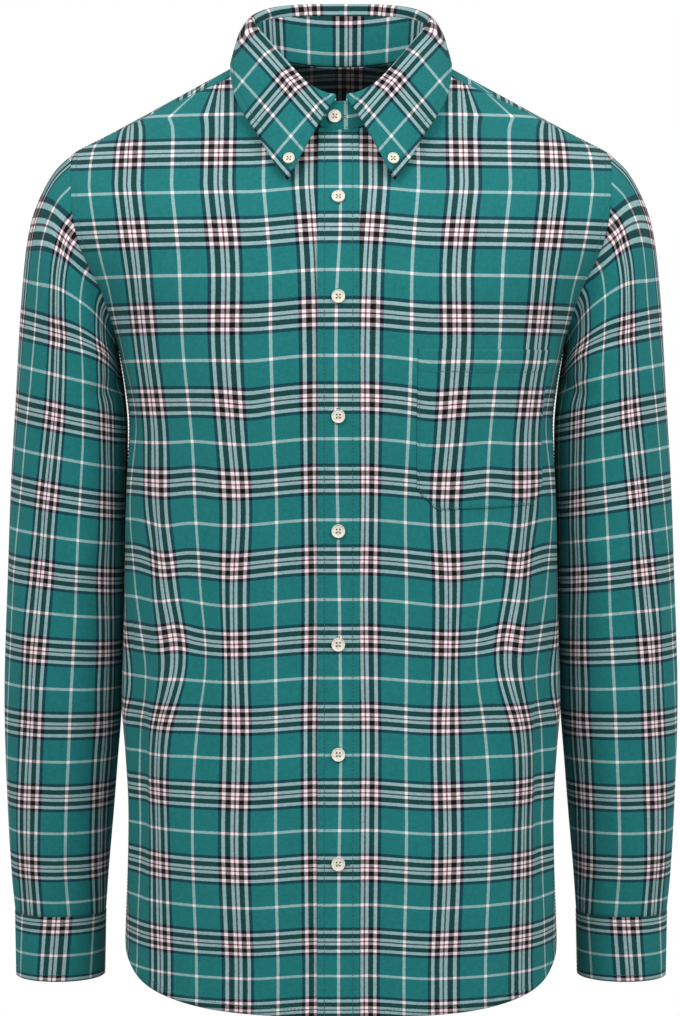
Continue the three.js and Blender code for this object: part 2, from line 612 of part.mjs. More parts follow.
// Cuff strip round the sleeve's last ring, its outer end lapped over its inner end.
function cuffGrid() {
  const ring = SLEEVE[SLEEVE.length - 1];
  const full = 2 * Math.PI + CUFF.lap;
  return span(0, 1, STEPS.cuffRows).map((down) => span(0, 1, STEPS.cuffColumns).map((t) => {
    const angle = CUFF.lapAngle + full * t;
    const lift = LAP_LIFT * smoothstep(t, CUFF.liftFrom, (full - CUFF.lap) / full);
    const halfWidth = (ring.outerX - ring.innerX) / 2 - CUFF.taper * down + lift;
    const middleY = (ring.front + ring.back) / 2;
    const halfDepth = (ring.back - ring.front) / 2 - CUFF.taper * down + lift;
    return new THREE.Vector3(
      (ring.outerX + ring.innerX) / 2 + halfWidth * Math.cos(angle),
      middleY - halfDepth * Math.sin(angle),
      ring.outerZ - SEAM - EASE - CUFF.height * down,
    );
  }));
}

// Collar table read at an angle in degrees.
function collarAt(column, angle) {
  const rows = COLLAR.map((row) => ({ z: -row.angle, value: row[column] }));
  return valueAt(rows, 'value', -angle);
}

// A point of the collar stand: angle round the neck in degrees, up from 0 to 1, lift outward.
function standPoint(angle, up, lift) {
  const side = Math.abs(angle);
  const [x, y] = neckPlan(degToRad(side));
  const outward = new THREE.Vector2(x / NECK.width ** 2, y / (y < 0 ? NECK.front : NECK.back) ** 2).normalize();
  const lean = collarAt('lean', side) * up + lift;
  const height = STAND.lift + (collarAt('stand', side) - STAND.lift) * up;
  return new THREE.Vector3(
    Math.sign(angle) * (x + outward.x * lean),
    y + outward.y * lean,
    shoulderHeight(x, y) + height,
  );
}

// How far the stand's cloth is off its own line: nothing on the wearer's right, and lapped over the
// right end at the front on the wearer's left.
function standLift(angle) {
  return LAP_LIFT * (1 - smoothstep(angle, STAND.lapFrom, STAND.lapTo));
}

// Angles of the collar's corners round half the neck, in degrees, those of the panels below it.
function neckStations() {
  const { radToDeg } = THREE.MathUtils;
  return [COLLAR[0].angle, radToDeg(placketAngle()), ...NECK_STEPS.map(radToDeg),
    ...span(radToDeg(NECK.yokeAngle), 180, STEPS.backNeck).slice(1)];
}

// Stand from its right end, under the lap, round the back to its left end over the lap.
function standGrid() {
  const { radToDeg } = THREE.MathUtils;
  const toAngle = (x) => radToDeg(Math.asin(x / NECK.width));
  const half = neckStations();
  const rightSide = [toAngle(STAND.rightEnd), STAND.nearEnd, ...half.map((angle) => -angle)]
    .map((angle) => ({ angle, lift: 0 }));
  const leftSide = [...half.slice(0, -1).reverse(), -half[0], toAngle(STAND.leftEnd)]
    .map((angle) => ({ angle, lift: standLift(angle) }));
  const stations = [...rightSide, ...leftSide];
  const roundedEnd = stations.length - 1;
  return span(1, 0, 3).map((up, row) => stations.map(({ angle, lift }, i) => {
    const cut = i === roundedEnd && row === 0 ? STAND.cornerCut : up;
    return standPoint(angle, cut, lift);
  }));
}

// Collar leaf: up from the stand, over the fold and down to its edge, from point to point.
function leafGrid() {
  const half = neckStations();
  const stations = [...half.map((angle) => -angle), ...half.slice(0, -1).reverse()];
  const columns = stations.map((angle) => {
    const side = Math.abs(angle);
    const under = angle > 0 ? standLift(angle) : 0;
    const top = standPoint(angle === 0 ? 0.01 : angle, 1, under);
    const flat = new THREE.Vector3(top.x, top.y, 0);
    const further = standPoint(angle === 0 ? 0.01 : angle, 1, under + 1);
    const outward = new THREE.Vector3(further.x, further.y, 0).sub(flat).normalize();
    const fold = collarAt('fold', side);
    const line = [top.clone().add(new THREE.Vector3(0, 0, LEAF.seam))];
    for (const { out, up } of LEAF_FOLD) {
      const point = top.clone().addScaledVector(outward, LEAF.radius * out);
      point.z += fold + LEAF.radius * up;
      line.push(point);
    }
    const outer = line[line.length - 1];
    const edge = new THREE.Vector3(
      Math.sign(angle || 1) * collarAt('edgeX', side),
      collarAt('edgeY', side),
      collarAt('edgeZ', side),
    );
    for (const fall of LEAF_FALLS) {
      const point = outer.clone().lerp(edge, fall);
      const belly = collarAt('belly', side) * Math.sin(Math.PI * fall ** LEAF.bellyPower);
      point.addScaledVector(outward, belly * LEAF.bellyOut);
      point.z += belly * LEAF.bellyUp;
      line.push(restedOnBody(point));
    }
    return line;
  });
  return columns[0].map((_, i) => columns.map((column) => column[i]));
}

// How far out a point is in units of the body's own section: 1 on the cloth and more outside it.
function bodyReach(point) {
  const section = sectionAt(point.z);
  const depth = point.y < 0 ? section.front : section.back;
  const n = section.square;
  return ((Math.abs(point.x) / section.width) ** n + (Math.abs(point.y) / depth) ** n) ** (1 / n);
}

// A point of the leaf, moved out where it would lie in the shoulders or the fronts.
function restedOnBody(point) {
  if (point.z > BODY[0].z) return point;
  const step = 0.5;
  const slope = new THREE.Vector3();
  for (const axis of ['x', 'y', 'z']) {
    const ahead = point.clone();
    const behind = point.clone();
    ahead[axis] += step;
    behind[axis] -= step;
    slope[axis] = (bodyReach(ahead) - bodyReach(behind)) / (2 * step);
  }
  const distance = (bodyReach(point) - 1) / slope.length();
  if (distance >= LEAF.restLift) return point;
  return point.clone().addScaledVector(slope.normalize(), LEAF.restLift - distance);
}

// A round button with a rim, its back on the cloth at a point and its face along a direction.
function buttonGeometry(size, point, direction) {
  const { radius, thickness, rim, dish, gap } = size;
  const profile = [
    new THREE.Vector2(0, gap),
    new THREE.Vector2(radius, gap),
    new THREE.Vector2(radius, gap + thickness),
    new THREE.Vector2(radius - rim, gap + thickness - dish),
    new THREE.Vector2(0, gap + thickness - dish),
  ];
  const geometry = new THREE.LatheGeometry(profile, STEPS.button);
  const turn = new THREE.Quaternion().setFromUnitVectors(new THREE.Vector3(0, 1, 0), direction);
  geometry.applyQuaternion(turn);
  geometry.translate(point.x, point.y, point.z);
  return geometry;
}

// Outer face of the placket or of the lapped stand at a height, for a button.
function addFrontButton(name, x, z, lift) {
  const angle = angleAtDistance(z, x);
  const point = bodyPoint(angle, z, lift);
  const up = bodyPoint(angle, z + 5, lift).sub(bodyPoint(angle, z - 5, lift));
  const across = bodyPoint(angleAtDistance(z, x + 5), z, lift).sub(bodyPoint(angleAtDistance(z, x - 5), z, lift));
  addPiece(name, buttonGeometry(BUTTON, point, across.cross(up).normalize()), SHELL);
}

// Button of the collar stand, on its lapped left end
function addStandButton() {
  const angle = THREE.MathUtils.radToDeg(Math.asin(COLLAR_BUTTON.x / NECK.width));
  const at = (turn, up) => standPoint(angle + turn, up, LAP_LIFT + FOLDED / 2);
  const point = at(0, COLLAR_BUTTON.up);
  const across = at(3, COLLAR_BUTTON.up).sub(at(-3, COLLAR_BUTTON.up));
  const direction = across.cross(at(0, 1).sub(at(0, 0))).normalize();
  addPiece('button_collar', buttonGeometry(BUTTON, point, direction), SHELL);
}

// A button on the outer face of a grid's wall
function gridButton(grid, row, column, thickness, size, outward) {
  const normal = normalOnGrid(grid, row, column);
  if (normal.dot(outward) < 0) normal.negate();
  const point = pointOnGrid(grid, row, column).addScaledVector(normal, thickness / 2);
  return buttonGeometry(size, point, normal);
}

// Buttons that hold the collar's two points down
function addPointButtons(grid) {
  const forward = new THREE.Vector3(0, -1, 0);
  const row = grid.length - 1 - POINT_BUTTON_PLACE.rowsFromEdge;
  const columns = [POINT_BUTTON_PLACE.column, grid[0].length - 1 - POINT_BUTTON_PLACE.column];
  ['right', 'left'].forEach((side, i) => {
    addPiece(`button_point_${side}`, gridButton(grid, row, columns[i], FOLDED, POINT_BUTTON, forward), SHELL);
  });
}

// Buttons on the laps of the cuffs
function addCuffButtons(grid) {
  const column = grid[0].length - 1 - CUFF_BUTTON_PLACE.columnsFromEnd;
  const outward = new THREE.Vector3(0.3, 1, 0);
  for (const [side, place] of [['left', grid], ['right', mirrored(grid)]]) {
    const away = outward.clone().setX(side === 'left' ? outward.x : -outward.x);
    const button = gridButton(place, CUFF_BUTTON_PLACE.row, column, FOLDED, BUTTON, away);
    addPiece(`button_cuff_${side}`, button, SHELL);
  }
}

// Placket of the sleeve's opening, over its last rings at the back
function sleevePlacketGrid(sleeve) {
  const rows = linesBetween(sleeve.length - 1 - SLEEVE_PLACKET.rings, sleeve.length - 1);
  const columns = linesBetween(SLEEVE_PLACKET.fromColumn, SLEEVE_PLACKET.toColumn);
  const lift = CLOTH / 2 + SEAM + 2 * EASE + PATCH / 2;
  return laidOn(sleeve, rows, () => columns, lift);
}

// Panels
const leftFront = frontGrid(PLACKET.right + SEAM, true);
const rightFront = frontGrid(-PLACKET.rightFrontEdge, false);
addPiece('front_left', wall(leftFront, CLOTH), FLANNEL);
addPiece('front_right', wall(mirrored(rightFront), CLOTH), FLANNEL);
addPiece('back', wall(backGrid(), CLOTH), FLANNEL);
addPiece('yoke', wall(yokeGrid(), CLOTH), FLANNEL);
addPiece('placket', wall(placketGrid(rightFront), FOLDED), TRIM);
addPiece('pocket', wall(pocketGrid(leftFront), PATCH), TRIM);

// Sleeves
const leftSleeve = sleeveGrid();
const leftCuff = cuffGrid();
for (const [side, place] of [['left', (grid) => grid], ['right', mirrored]]) {
  addPiece(`sleeve_${side}`, wall(place(leftSleeve), CLOTH, true), FLANNEL);
  addPiece(`cuff_${side}`, wall(place(leftCuff), FOLDED), TRIM);
  addPiece(`sleeve_placket_${side}`, wall(place(sleevePlacketGrid(leftSleeve)), PATCH), TRIM);
}

// Collar
addPiece('collar_stand', wall(standGrid(), FOLDED), TRIM);
const leaf = leafGrid();
addPiece('collar_leaf', wall(leaf, FOLDED), TRIM);

// Buttons
BUTTON_ROWS.forEach((z, i) => {
  addFrontButton(`button_front_${i + 1}`, BUTTON_X, z, PLACKET_LIFT + FOLDED / 2);
});
addStandButton();
addPointButtons(leaf);
addCuffButtons(leftCuff);

export default shirt;
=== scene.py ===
import logging
import math
from dataclasses import dataclass, field
from enum import Enum
from functools import cached_property

import bmesh
import bpy
import numpy as np
from bpy.types import Material, Node, NodeSocket, NodeTree, Object
from mathutils import Matrix, Vector

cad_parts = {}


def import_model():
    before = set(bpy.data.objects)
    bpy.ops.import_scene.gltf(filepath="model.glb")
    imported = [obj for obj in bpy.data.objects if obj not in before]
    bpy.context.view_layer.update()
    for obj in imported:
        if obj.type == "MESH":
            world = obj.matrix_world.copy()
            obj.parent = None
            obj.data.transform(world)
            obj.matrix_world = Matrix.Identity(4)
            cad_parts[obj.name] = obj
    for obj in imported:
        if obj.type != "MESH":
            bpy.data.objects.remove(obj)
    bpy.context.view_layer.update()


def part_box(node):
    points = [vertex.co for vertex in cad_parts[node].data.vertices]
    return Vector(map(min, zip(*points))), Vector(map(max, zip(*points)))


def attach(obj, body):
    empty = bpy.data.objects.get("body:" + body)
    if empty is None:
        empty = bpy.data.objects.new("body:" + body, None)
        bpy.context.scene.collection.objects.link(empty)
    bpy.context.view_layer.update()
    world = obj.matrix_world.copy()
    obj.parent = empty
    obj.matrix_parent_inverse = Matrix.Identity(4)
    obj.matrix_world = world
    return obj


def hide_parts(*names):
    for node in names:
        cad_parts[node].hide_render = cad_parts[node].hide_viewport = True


# Long-sleeved flannel shirt with a button-down collar, in its worn form with nobody in it.
# The form is worked out in millimetres from the neck opening's centre, as the part's own source
# does, and goes to metres where a mesh is made. The front faces -Y, the wearer's left is +X.

log = logging.getLogger("shirt")

Array = np.ndarray
Values = Array | float
# Points in mm and the outward normals there
Path = tuple[Array, Array]

MM = 0.001
RIGHT_ANGLE = math.pi / 2
CHECK_MAP = "check"
# Name of the mark on inner faces that get painted shade
PAINTED_SHADE = "inside"
SLIVER = 0.001
REPEAT = 68
EDGE_ROUND = 0.8


class Side(Enum):
    """The wearer's left or right, as the sign of X there."""

    LEFT = 1
    RIGHT = -1


class Slot(Enum):
    """Which way a buttonhole runs."""

    UPRIGHT = "upright"
    LEVEL = "level"


class Edge(Enum):
    """The four edges of a piece of cloth, as its grid of points runs."""

    TOP = "top"
    BOTTOM = "bottom"
    START = "start"
    END = "end"


def smoothstep(value: Values, low: float, high: float) -> Array:
    """Rise smoothly from 0 at low to 1 at high.

    Args:
        value: What is compared with low and high.
        low: Where the rise starts.
        high: Where it ends.

    Returns:
        The share risen, from 0 to 1.
    """
    t = np.clip((np.asarray(value, dtype=float) - low) / (high - low), 0, 1)
    return t * t * (3 - 2 * t)


def lerp(start: float, end: float, share: Values) -> Values:
    """Value at a share of the way from start to end."""
    return start + (end - start) * share


def curve_value(keys: Array, values: Array, at: Values) -> Array:
    """Read a short table on a smooth curve through its rows.

    Args:
        keys: The rows' places, growing.
        values: The rows' values.
        at: Places to read.

    Returns:
        The values there, held at the table's two ends.
    """
    last = len(keys) - 1
    ahead = np.minimum(np.arange(last + 1) + 1, last)
    behind = np.maximum(np.arange(last + 1) - 1, 0)
    slopes = (values[ahead] - values[behind]) / (keys[ahead] - keys[behind])
    at = np.asarray(at, dtype=float)
    row = np.clip(np.searchsorted(keys, at, side="left") - 1, 0, last - 1)
    step = keys[row + 1] - keys[row]
    t = np.clip((at - keys[row]) / step, 0, 1)
    rise = (t**3 - 2 * t**2 + t) * slopes[row] + (t**3 - t**2) * slopes[row + 1]
    return lerp(values[row], values[row + 1], 3 * t**2 - 2 * t**3) + rise * step


def unit(vectors: Array) -> Array:
    """Vectors along the last axis at length 1."""
    return vectors / np.maximum(np.linalg.norm(vectors, axis=-1, keepdims=True), 1e-9)


def runs_along(points: Array, axis: int) -> Array:
    """Distance run along one axis of a grid of points.

    Args:
        points: The grid, rows by columns by three.
        axis: 0 to run down the rows, 1 to run across the columns.

    Returns:
        The distance at each point, from 0 at the first.
    """
    steps = np.linalg.norm(np.diff(points, axis=axis), axis=-1)
    start = np.zeros((1, steps.shape[1]) if axis == 0 else (steps.shape[0], 1))
    return np.concatenate([start, np.cumsum(steps, axis=axis)], axis=axis)


# Form of the body

@dataclass(frozen=True)
class Section:
    """A horizontal section of the body: its height, half width, depths and squareness."""

    z: float
    width: float
    front: float
    back: float
    square: float


@dataclass(frozen=True)
class Fold:
    """A soft ridge or trough in the body's cloth.

    angle and z are its middle, in degrees from the centre front and mm. Over half_angle and
    half_height it fades out. A rise below 0 is a trough. slant is in degrees to the mm, and side
    is 1 or -1 where only the wearer's left or right has it.
    """

    angle: float
    z: float
    half_angle: float
    half_height: float
    rise: float
    slant: float = 0.0
    side: int = 0


@dataclass(frozen=True)
class Ripple:
    """Two crossing waves in hanging cloth: their height, and each one's turns, pitch and phase."""

    rise: float
    turns: tuple[float, float]
    pitches: tuple[float, float]
    phases: tuple[float, float] = (0, 0)

    def height(self, angle: Array, z: Array) -> Array:
        """Read how high they lift the cloth.

        Args:
            angle: Angles, in radians.
            z: Heights.

        Returns:
            The lift there.
        """
        waves = zip(self.turns, self.pitches, self.phases)
        one, two = (np.sin(turn * angle + z / pitch + phase) for turn, pitch, phase in waves)
        return self.rise * (one * two)


@dataclass(frozen=True)
class BundleRow:
    """Distances from the centre line, at a height, of the check's first three upright bundles."""

    z: float
    first: float
    second: float
    third: float


BODY_SECTIONS = (
    Section(10, 53.6, 23, 37, 2),
    Section(0, 72, 30, 44, 2),
    Section(-20, 108.7, 41, 57, 2),
    Section(-45, 154.6, 52, 71, 2),
    Section(-70, 200.4, 62, 83, 2),
    Section(-85, 228, 72, 90, 2.05),
    Section(-105, 248, 85, 98, 2.1),
    Section(-130, 251, 100, 107, 2.2),
    Section(-155, 242, 112, 114, 2.3),
    Section(-175, 230, 118, 118, 2.35),
    Section(-200, 211, 124, 122, 2.4),
    Section(-220, 200, 126.5, 124, 2.4),
    Section(-240, 191, 128, 126, 2.45),
    Section(-255, 187, 129, 126, 2.5),
    Section(-280, 182.5, 130, 125, 2.5),
    Section(-310, 179, 130, 123, 2.5),
    Section(-345, 180, 128.5, 120, 2.5),
    Section(-385, 181.5, 127, 116, 2.5),
    Section(-440, 182.5, 125, 112, 2.5),
    Section(-500, 184, 124, 113, 2.5),
    Section(-550, 185, 125, 116, 2.5),
    Section(-590, 182, 127, 119, 2.5),
    Section(-630, 179.5, 128.5, 122, 2.5),
    Section(-670, 179.5, 130, 124, 2.5),
    Section(-730, 181.5, 131, 126, 2.5),
    Section(-810, 183, 132, 127, 2.5),
)

# The largest folds, which the part's solids have too
BODY_FOLDS = (
    Fold(57, -505, 6, 120, 5.5, 0.02),
    Fold(68, -600, 5, 110, -5, -0.02),
    Fold(49, -560, 4, 70, -2.5, -0.03),
    Fold(33, -640, 5, 90, 1.6, 0.02),
    Fold(62, -400, 4, 50, -2, -0.05),
    Fold(76, -310, 6, 45, -4, 0.05),
    Fold(41, -450, 5, 110, 2.5),
    Fold(112, -520, 8, 130, -4, 0.02),
    Fold(128, -430, 8, 150, 4, -0.02),
    Fold(150, -560, 8, 140, -3),
)

# Smaller creases: under the arms, at the waist's sides, across the shoulder
# blades and down the drape of both fronts
BODY_CREASES = (
    Fold(70, -285, 2.6, 42, 1.8, 0.07),
    Fold(66, -330, 2.4, 50, -1.6, 0.05, side=-1),
    Fold(79, -350, 2.2, 60, 1.6, 0.03),
    Fold(63, -590, 2.2, 65, 2.0, -0.03),
    Fold(73, -520, 2.4, 80, -2.2, 0.03),
    Fold(77, -640, 2.3, 75, 2.0, -0.02),
    Fold(33, -520, 4.0, 85, -1.2, 0.01),
    Fold(47, -640, 3.6, 90, 1.2, 0.015, side=1),
    Fold(51, -700, 3.4, 75, -1.2, -0.02, side=-1),
    Fold(24, -640, 3.4, 110, 0.9, side=-1),
    Fold(20, -430, 3.6, 80, -0.7, side=1),
    Fold(102, -300, 3.2, 60, 2.0, -0.06),
    Fold(109, -345, 3.0, 75, -2.0, -0.05),
    Fold(120, -300, 4.5, 90, 1.6, -0.06),
    Fold(137, -470, 3.4, 120, -1.8, -0.02),
    Fold(158, -420, 4.2, 130, 1.6, 0.01),
    Fold(168, -600, 3.6, 100, -1.5, side=1),
    Fold(164, -640, 3.6, 90, 1.3, side=-1),
    Fold(119, -660, 3.4, 85, 1.8, 0.02),
    Fold(104, -600, 2.8, 95, 1.9, -0.01),
)

# Slight unevenness of the hanging cloth
BODY_RIPPLES = (
    Ripple(0.55, (3.1, 2.0), (61, 83), (0.7, 0)),
    Ripple(0.3, (11.3, 4.1), (-47, 38), (1.9, 0.6)),
)
SLEEVE_RIPPLE = Ripple(0.5, (3, 2), (43, 57))

# Where the check's upright bundles pass, which draws in where a fold takes cloth up
BUNDLES = (
    BundleRow(-115, 26.3, 101.3, 177.7),
    BundleRow(-180, 21.5, 94.1, 168.8),
    BundleRow(-247, 19.5, 93.8, 162.4),
    BundleRow(-316, 19.5, 89.4, 153.3),
    BundleRow(-380, 19.5, 84.5, 152),
    BundleRow(-445, 18.5, 87.4, 144.7),
    BundleRow(-507, 19, 87, 135.4),
    BundleRow(-567, 20, 85, 149),
    BundleRow(-654, 19.3, 86.2, 150.3),
    BundleRow(-750, 18.7, 82.9, 147.9),
)

# Heights of the centres of the check's level bundles, at the placket
LEVELS = (-84.2, -152, -222.4, -291, -357.3, -422.4, -486.7, -549.8, -611, -671.4, -731, -785.8)


@dataclass(frozen=True)
class Wave:
    """A place where the level lines of the check dip, or rise where dip is below nothing."""

    x: float
    z: float
    half_x: float
    half_z: float
    dip: float


# Where the weft sways between the drape folds
WAVES = (
    Wave(145, -414, 14, 36, 3.2),
    Wave(134, -480, 14, 34, -4.0),
    Wave(90, -440, 20, 60, 2.2),
    Wave(172, -430, 14, 60, -2.5),
    Wave(75, -300, 18, 40, 1.8),
    Wave(120, -350, 16, 40, -2.0),
)


@dataclass
class BodyForm:
    """The body's cloth as one smooth form, and where the check lies on it. Millimetres."""

    sections: tuple[Section, ...] = BODY_SECTIONS
    folds: tuple[Fold, ...] = BODY_FOLDS
    creases: tuple[Fold, ...] = BODY_CREASES
    neck_width: float = 72
    neck_front: float = 62
    neck_back: float = 48
    yoke_angle: float = math.radians(71)
    armhole_top: float = -85
    armhole_bottom: float = -247
    armhole_front: float = 56
    armhole_back: float = 62
    yoke_armhole_y: float = -6
    yoke_bow: float = 5
    back_seam: float = -95
    repeat: float = 70
    droop: float = 4
    droop_from: float = 16
    droop_to: float = 80
    ripples: tuple[Ripple, ...] = BODY_RIPPLES
    seam_fade: tuple[float, float] = (1, 9)
    ripple_fade: tuple[float, float] = (60, 200)
    ripple_clear: tuple[float, float] = (16, 45)
    shoulders: tuple[float, float] = (10, -140)
    halvings: int = 26
    probe: float = 0.5
    lattice_top: float = 12
    lattice_bottom: float = -816
    lattice_step: float = 4
    lattice_turn: float = 1.5
    widened: float = 0.3
    widens: tuple[float, float] = (190, 260)
    narrows: tuple[float, float] = (480, 550)

    def section(self, column: str, z: Values) -> Array:
        """Read one column of the sections.

        Args:
            column: The column's name.
            z: Heights.

        Returns:
            The column's values there.
        """
        keys = np.array([-row.z for row in self.sections])
        values = np.array([float(getattr(row, column)) for row in self.sections])
        return curve_value(keys, values, -np.asarray(z, dtype=float))

    def depth(self, front: Array, z: Array) -> Array:
        """Depth of the section at a height, the front's where front is true."""
        return np.where(front, self.section("front", z), self.section("back", z))

    def seam_share(self, angle: Array) -> Array:
        """Share of a fold's height left near a side seam, where it is nothing."""
        return smoothstep(np.abs(np.degrees(np.abs(angle)) - 90), *self.seam_fade)

    def fold_height(self, angle: Array, z: Array, creased: bool) -> Array:
        """Height of the folds over the smooth body, nothing at the side seams.

        Args:
            angle: Angles round the body from the centre front, in radians.
            z: Heights.
            creased: Whether the smaller creases count.

        Returns:
            The height of the cloth off the smooth form.
        """
        degrees = np.degrees(np.abs(angle))
        height = np.zeros(np.broadcast(angle, z).shape)
        for fold in self.folds + (self.creases if creased else ()):
            across = (degrees - fold.angle - fold.slant * (z - fold.z)) / fold.half_angle
            along = (z - fold.z) / fold.half_height
            here = np.where(np.sign(angle) == fold.side, 1.0, 0.0) if fold.side else 1.0
            height = height + here * fold.rise * np.exp(-across**2 - along**2)
        return self.seam_share(angle) * height

    def radius(self, angle: Array, z: Array) -> Array:
        """Distance of the smooth section from the neck's axis.

        Args:
            angle: Angles round the body from the centre front.
            z: Heights.

        Returns:
            The distances.
        """
        square = self.section("square", z)
        sine = np.abs(np.sin(angle)) / self.section("width", z)
        cosine = np.abs(np.cos(angle)) / self.depth(np.cos(angle) > 0, z)
        return (sine**square + cosine**square) ** (-1 / square)

    def point(
        self, angle: Array, z: Array, lift: Values = 0.0, creased: bool = True
    ) -> Array:
        """Points of the body's cloth.

        Args:
            angle: Angles round the body from the centre front.
            z: Heights.
            lift: Distance off the cloth.
            creased: Whether the smaller creases and the unevenness count.

        Returns:
            The points, with three coordinates on the last axis.
        """
        angle, z = np.broadcast_arrays(np.asarray(angle, float), np.asarray(z, float))
        width = self.section("width", z)
        depth = self.depth(np.cos(angle) > 0, z)
        power = self.section("square", z) - 1
        radius = self.radius(angle, z)
        x = radius * np.sin(angle)
        y = -radius * np.cos(angle)
        step = 2
        slope = (self.radius(angle, z - step) - self.radius(angle, z + step)) / (2 * step)
        outward = unit(np.stack([
            np.sign(x) * (np.abs(x) / width) ** power / width,
            np.sign(y) * (np.abs(y) / depth) ** power / depth,
        ], axis=-1))
        out = lift * np.hypot(1, slope) + self.fold_height(angle, z, creased)
        if creased:
            fade = smoothstep(-z, *self.ripple_fade) * self.seam_share(angle)
            rise = sum(ripple.height(angle, z) for ripple in self.ripples)
            out = out + fade * smoothstep(np.abs(x), *self.ripple_clear) * rise
        return np.stack([x + outward[..., 0] * out, y + outward[..., 1] * out, z], axis=-1)

    def shoulder_height(self, x: Array, y: Array) -> Array:
        """Find the height of the shoulders' cloth over points in plan by halving.

        Args:
            x: The points' distances to the wearer's left.
            y: Their distances back.

        Returns:
            The heights.
        """
        x, y = np.broadcast_arrays(np.asarray(x, float), np.asarray(y, float))
        above, below = (np.full(x.shape, float(height)) for height in self.shoulders)
        for _ in range(self.halvings):
            z = (above + below) / 2
            outside = self.reach(np.stack([x, y, z], axis=-1)) > 1
            above = np.where(outside, z, above)
            below = np.where(outside, below, z)
        return (above + below) / 2

    def reach(self, points: Array) -> Array:
        """Measure how far out points are.

        Args:
            points: The points.

        Returns:
            1 on the smooth cloth, more outside it and less within.
        """
        x, y, z = points[..., 0], points[..., 1], points[..., 2]
        square = self.section("square", z)
        across = (np.abs(x) / self.section("width", z)) ** square
        return (across + (np.abs(y) / self.depth(y < 0, z)) ** square) ** (1 / square)

    def rested(self, points: Array, lift: float) -> Array:
        """Move points out to lie on the shoulders or fronts.

        Args:
            points: Points that may lie in the body.
            lift: Least distance of each from the body's cloth.

        Returns:
            The points, moved out where they are nearer than lift.
        """
        slope = np.zeros(points.shape)
        for axis in range(3):
            move = self.probe * np.eye(3)[axis]
            slope[..., axis] = (self.reach(points + move) - self.reach(points - move)) / (2 * self.probe)
        distance = (self.reach(points) - 1) / np.linalg.norm(slope, axis=-1)
        short = np.where(points[..., 2] < self.sections[0].z, np.maximum(lift - distance, 0), 0)
        return points + unit(slope) * short[..., None]

    @cached_property
    def lattice_z(self) -> Array:
        """Heights of the lattice on which distances round the body are kept."""
        return np.arange(self.lattice_top, self.lattice_bottom, -self.lattice_step, dtype=float)

    @cached_property
    def lattice_angles(self) -> Array:
        """Angles of that lattice, from the centre front to the centre back."""
        return np.radians(np.linspace(0, 180, int(180 / self.lattice_turn) + 1))

    @cached_property
    def lattice_points(self) -> Array:
        """The body's points on that lattice, without the smaller creases."""
        return self.point(self.lattice_angles[None, :], self.lattice_z[:, None], creased=False)

    @cached_property
    def lattice_runs(self) -> Array:
        """Distance round from the centre front at each lattice point."""
        return runs_along(self.lattice_points, 1)

    @cached_property
    def lattice_warp(self) -> Array:
        """The check's upright coordinate at each lattice point: whole on a bundle's centre.

        Returns:
            Repeats, counted from the bundle nearest to the placket, which is 0.
        """
        keys = np.array([-row.z for row in BUNDLES], dtype=float)
        warp = np.zeros(self.lattice_runs.shape)
        half = len(self.lattice_angles) // 2
        for level, z in enumerate(self.lattice_z):
            runs = self.lattice_runs[level]
            across = self.lattice_points[level, : half + 1, 0]
            places = [
                float(curve_value(keys, np.array([getattr(row, column) for row in BUNDLES]), -z))
                for column in ("first", "second", "third")
            ]
            first, second, third = np.interp(places, across, runs[: half + 1])
            inner = (runs - first) / (second - first)
            wide = 1 + self.widened * smoothstep(-z, *self.widens) * (1 - smoothstep(-z, *self.narrows))
            share = (runs - second) / (third - second)
            middle = 1 + share + (1 - 1 / wide) * share**2 * (1 - share)
            outer = 2 + (runs - third) / (self.repeat * wide)
            warp[level] = np.where(runs < second, inner, np.where(runs < third, middle, outer))
        return warp

    def on_lattice(self, values: Array, angle: Array, z: Array) -> Array:
        """Read lattice values between its points.

        Args:
            values: Values at the lattice's points.
            angle: Angles to read at.
            z: Heights to read at.

        Returns:
            The values there.
        """
        turns = np.degrees(np.abs(angle)) / self.lattice_turn
        columns = np.clip(turns, 0, len(self.lattice_angles) - 1 - SLIVER)
        return bilinear(values, self.lattice_row(z), columns)

    def lattice_row(self, z: Array) -> Array:
        """Fractional rows of the lattice at heights."""
        return np.clip((self.lattice_top - z) / self.lattice_step, 0, len(self.lattice_z) - 1 - SLIVER)

    def run_at(self, angle: Values, z: Values) -> Array:
        """Distance round the body from the centre front, at an angle and a height."""
        return self.on_lattice(self.lattice_runs, np.asarray(angle), np.asarray(z))

    def level_row(self, z: float, start: float, end: float, count: int) -> Array:
        """Pairs of angle and height along a level line, evenly from one distance round to another.

        Args:
            z: The line's height.
            start: Distance round the body of its first point.
            end: That of its last.
            count: How many points it has.

        Returns:
            The pairs.
        """
        level = np.full(count, z)
        return np.stack([self.angle_at(level, np.linspace(start, end, count)), level], axis=-1)

    def angle_at(self, z: Array, distance: Array) -> Array:
        """Find the angle at which the cloth has run a distance from the centre front.

        Args:
            z: Heights.
            distance: Distances, below nothing on the wearer's right.

        Returns:
            The angles.
        """
        z, distance = np.broadcast_arrays(np.asarray(z, float), np.asarray(distance, float))
        rows = self.lattice_row(z)
        level = rows.astype(int)
        found = np.zeros(z.shape)
        for place in np.ndindex(z.shape):
            share = rows[place] - level[place]
            runs = lerp(self.lattice_runs[level[place]], self.lattice_runs[level[place] + 1], share)
            found[place] = np.interp(abs(distance[place]), runs, self.lattice_angles)
        return np.sign(distance) * found

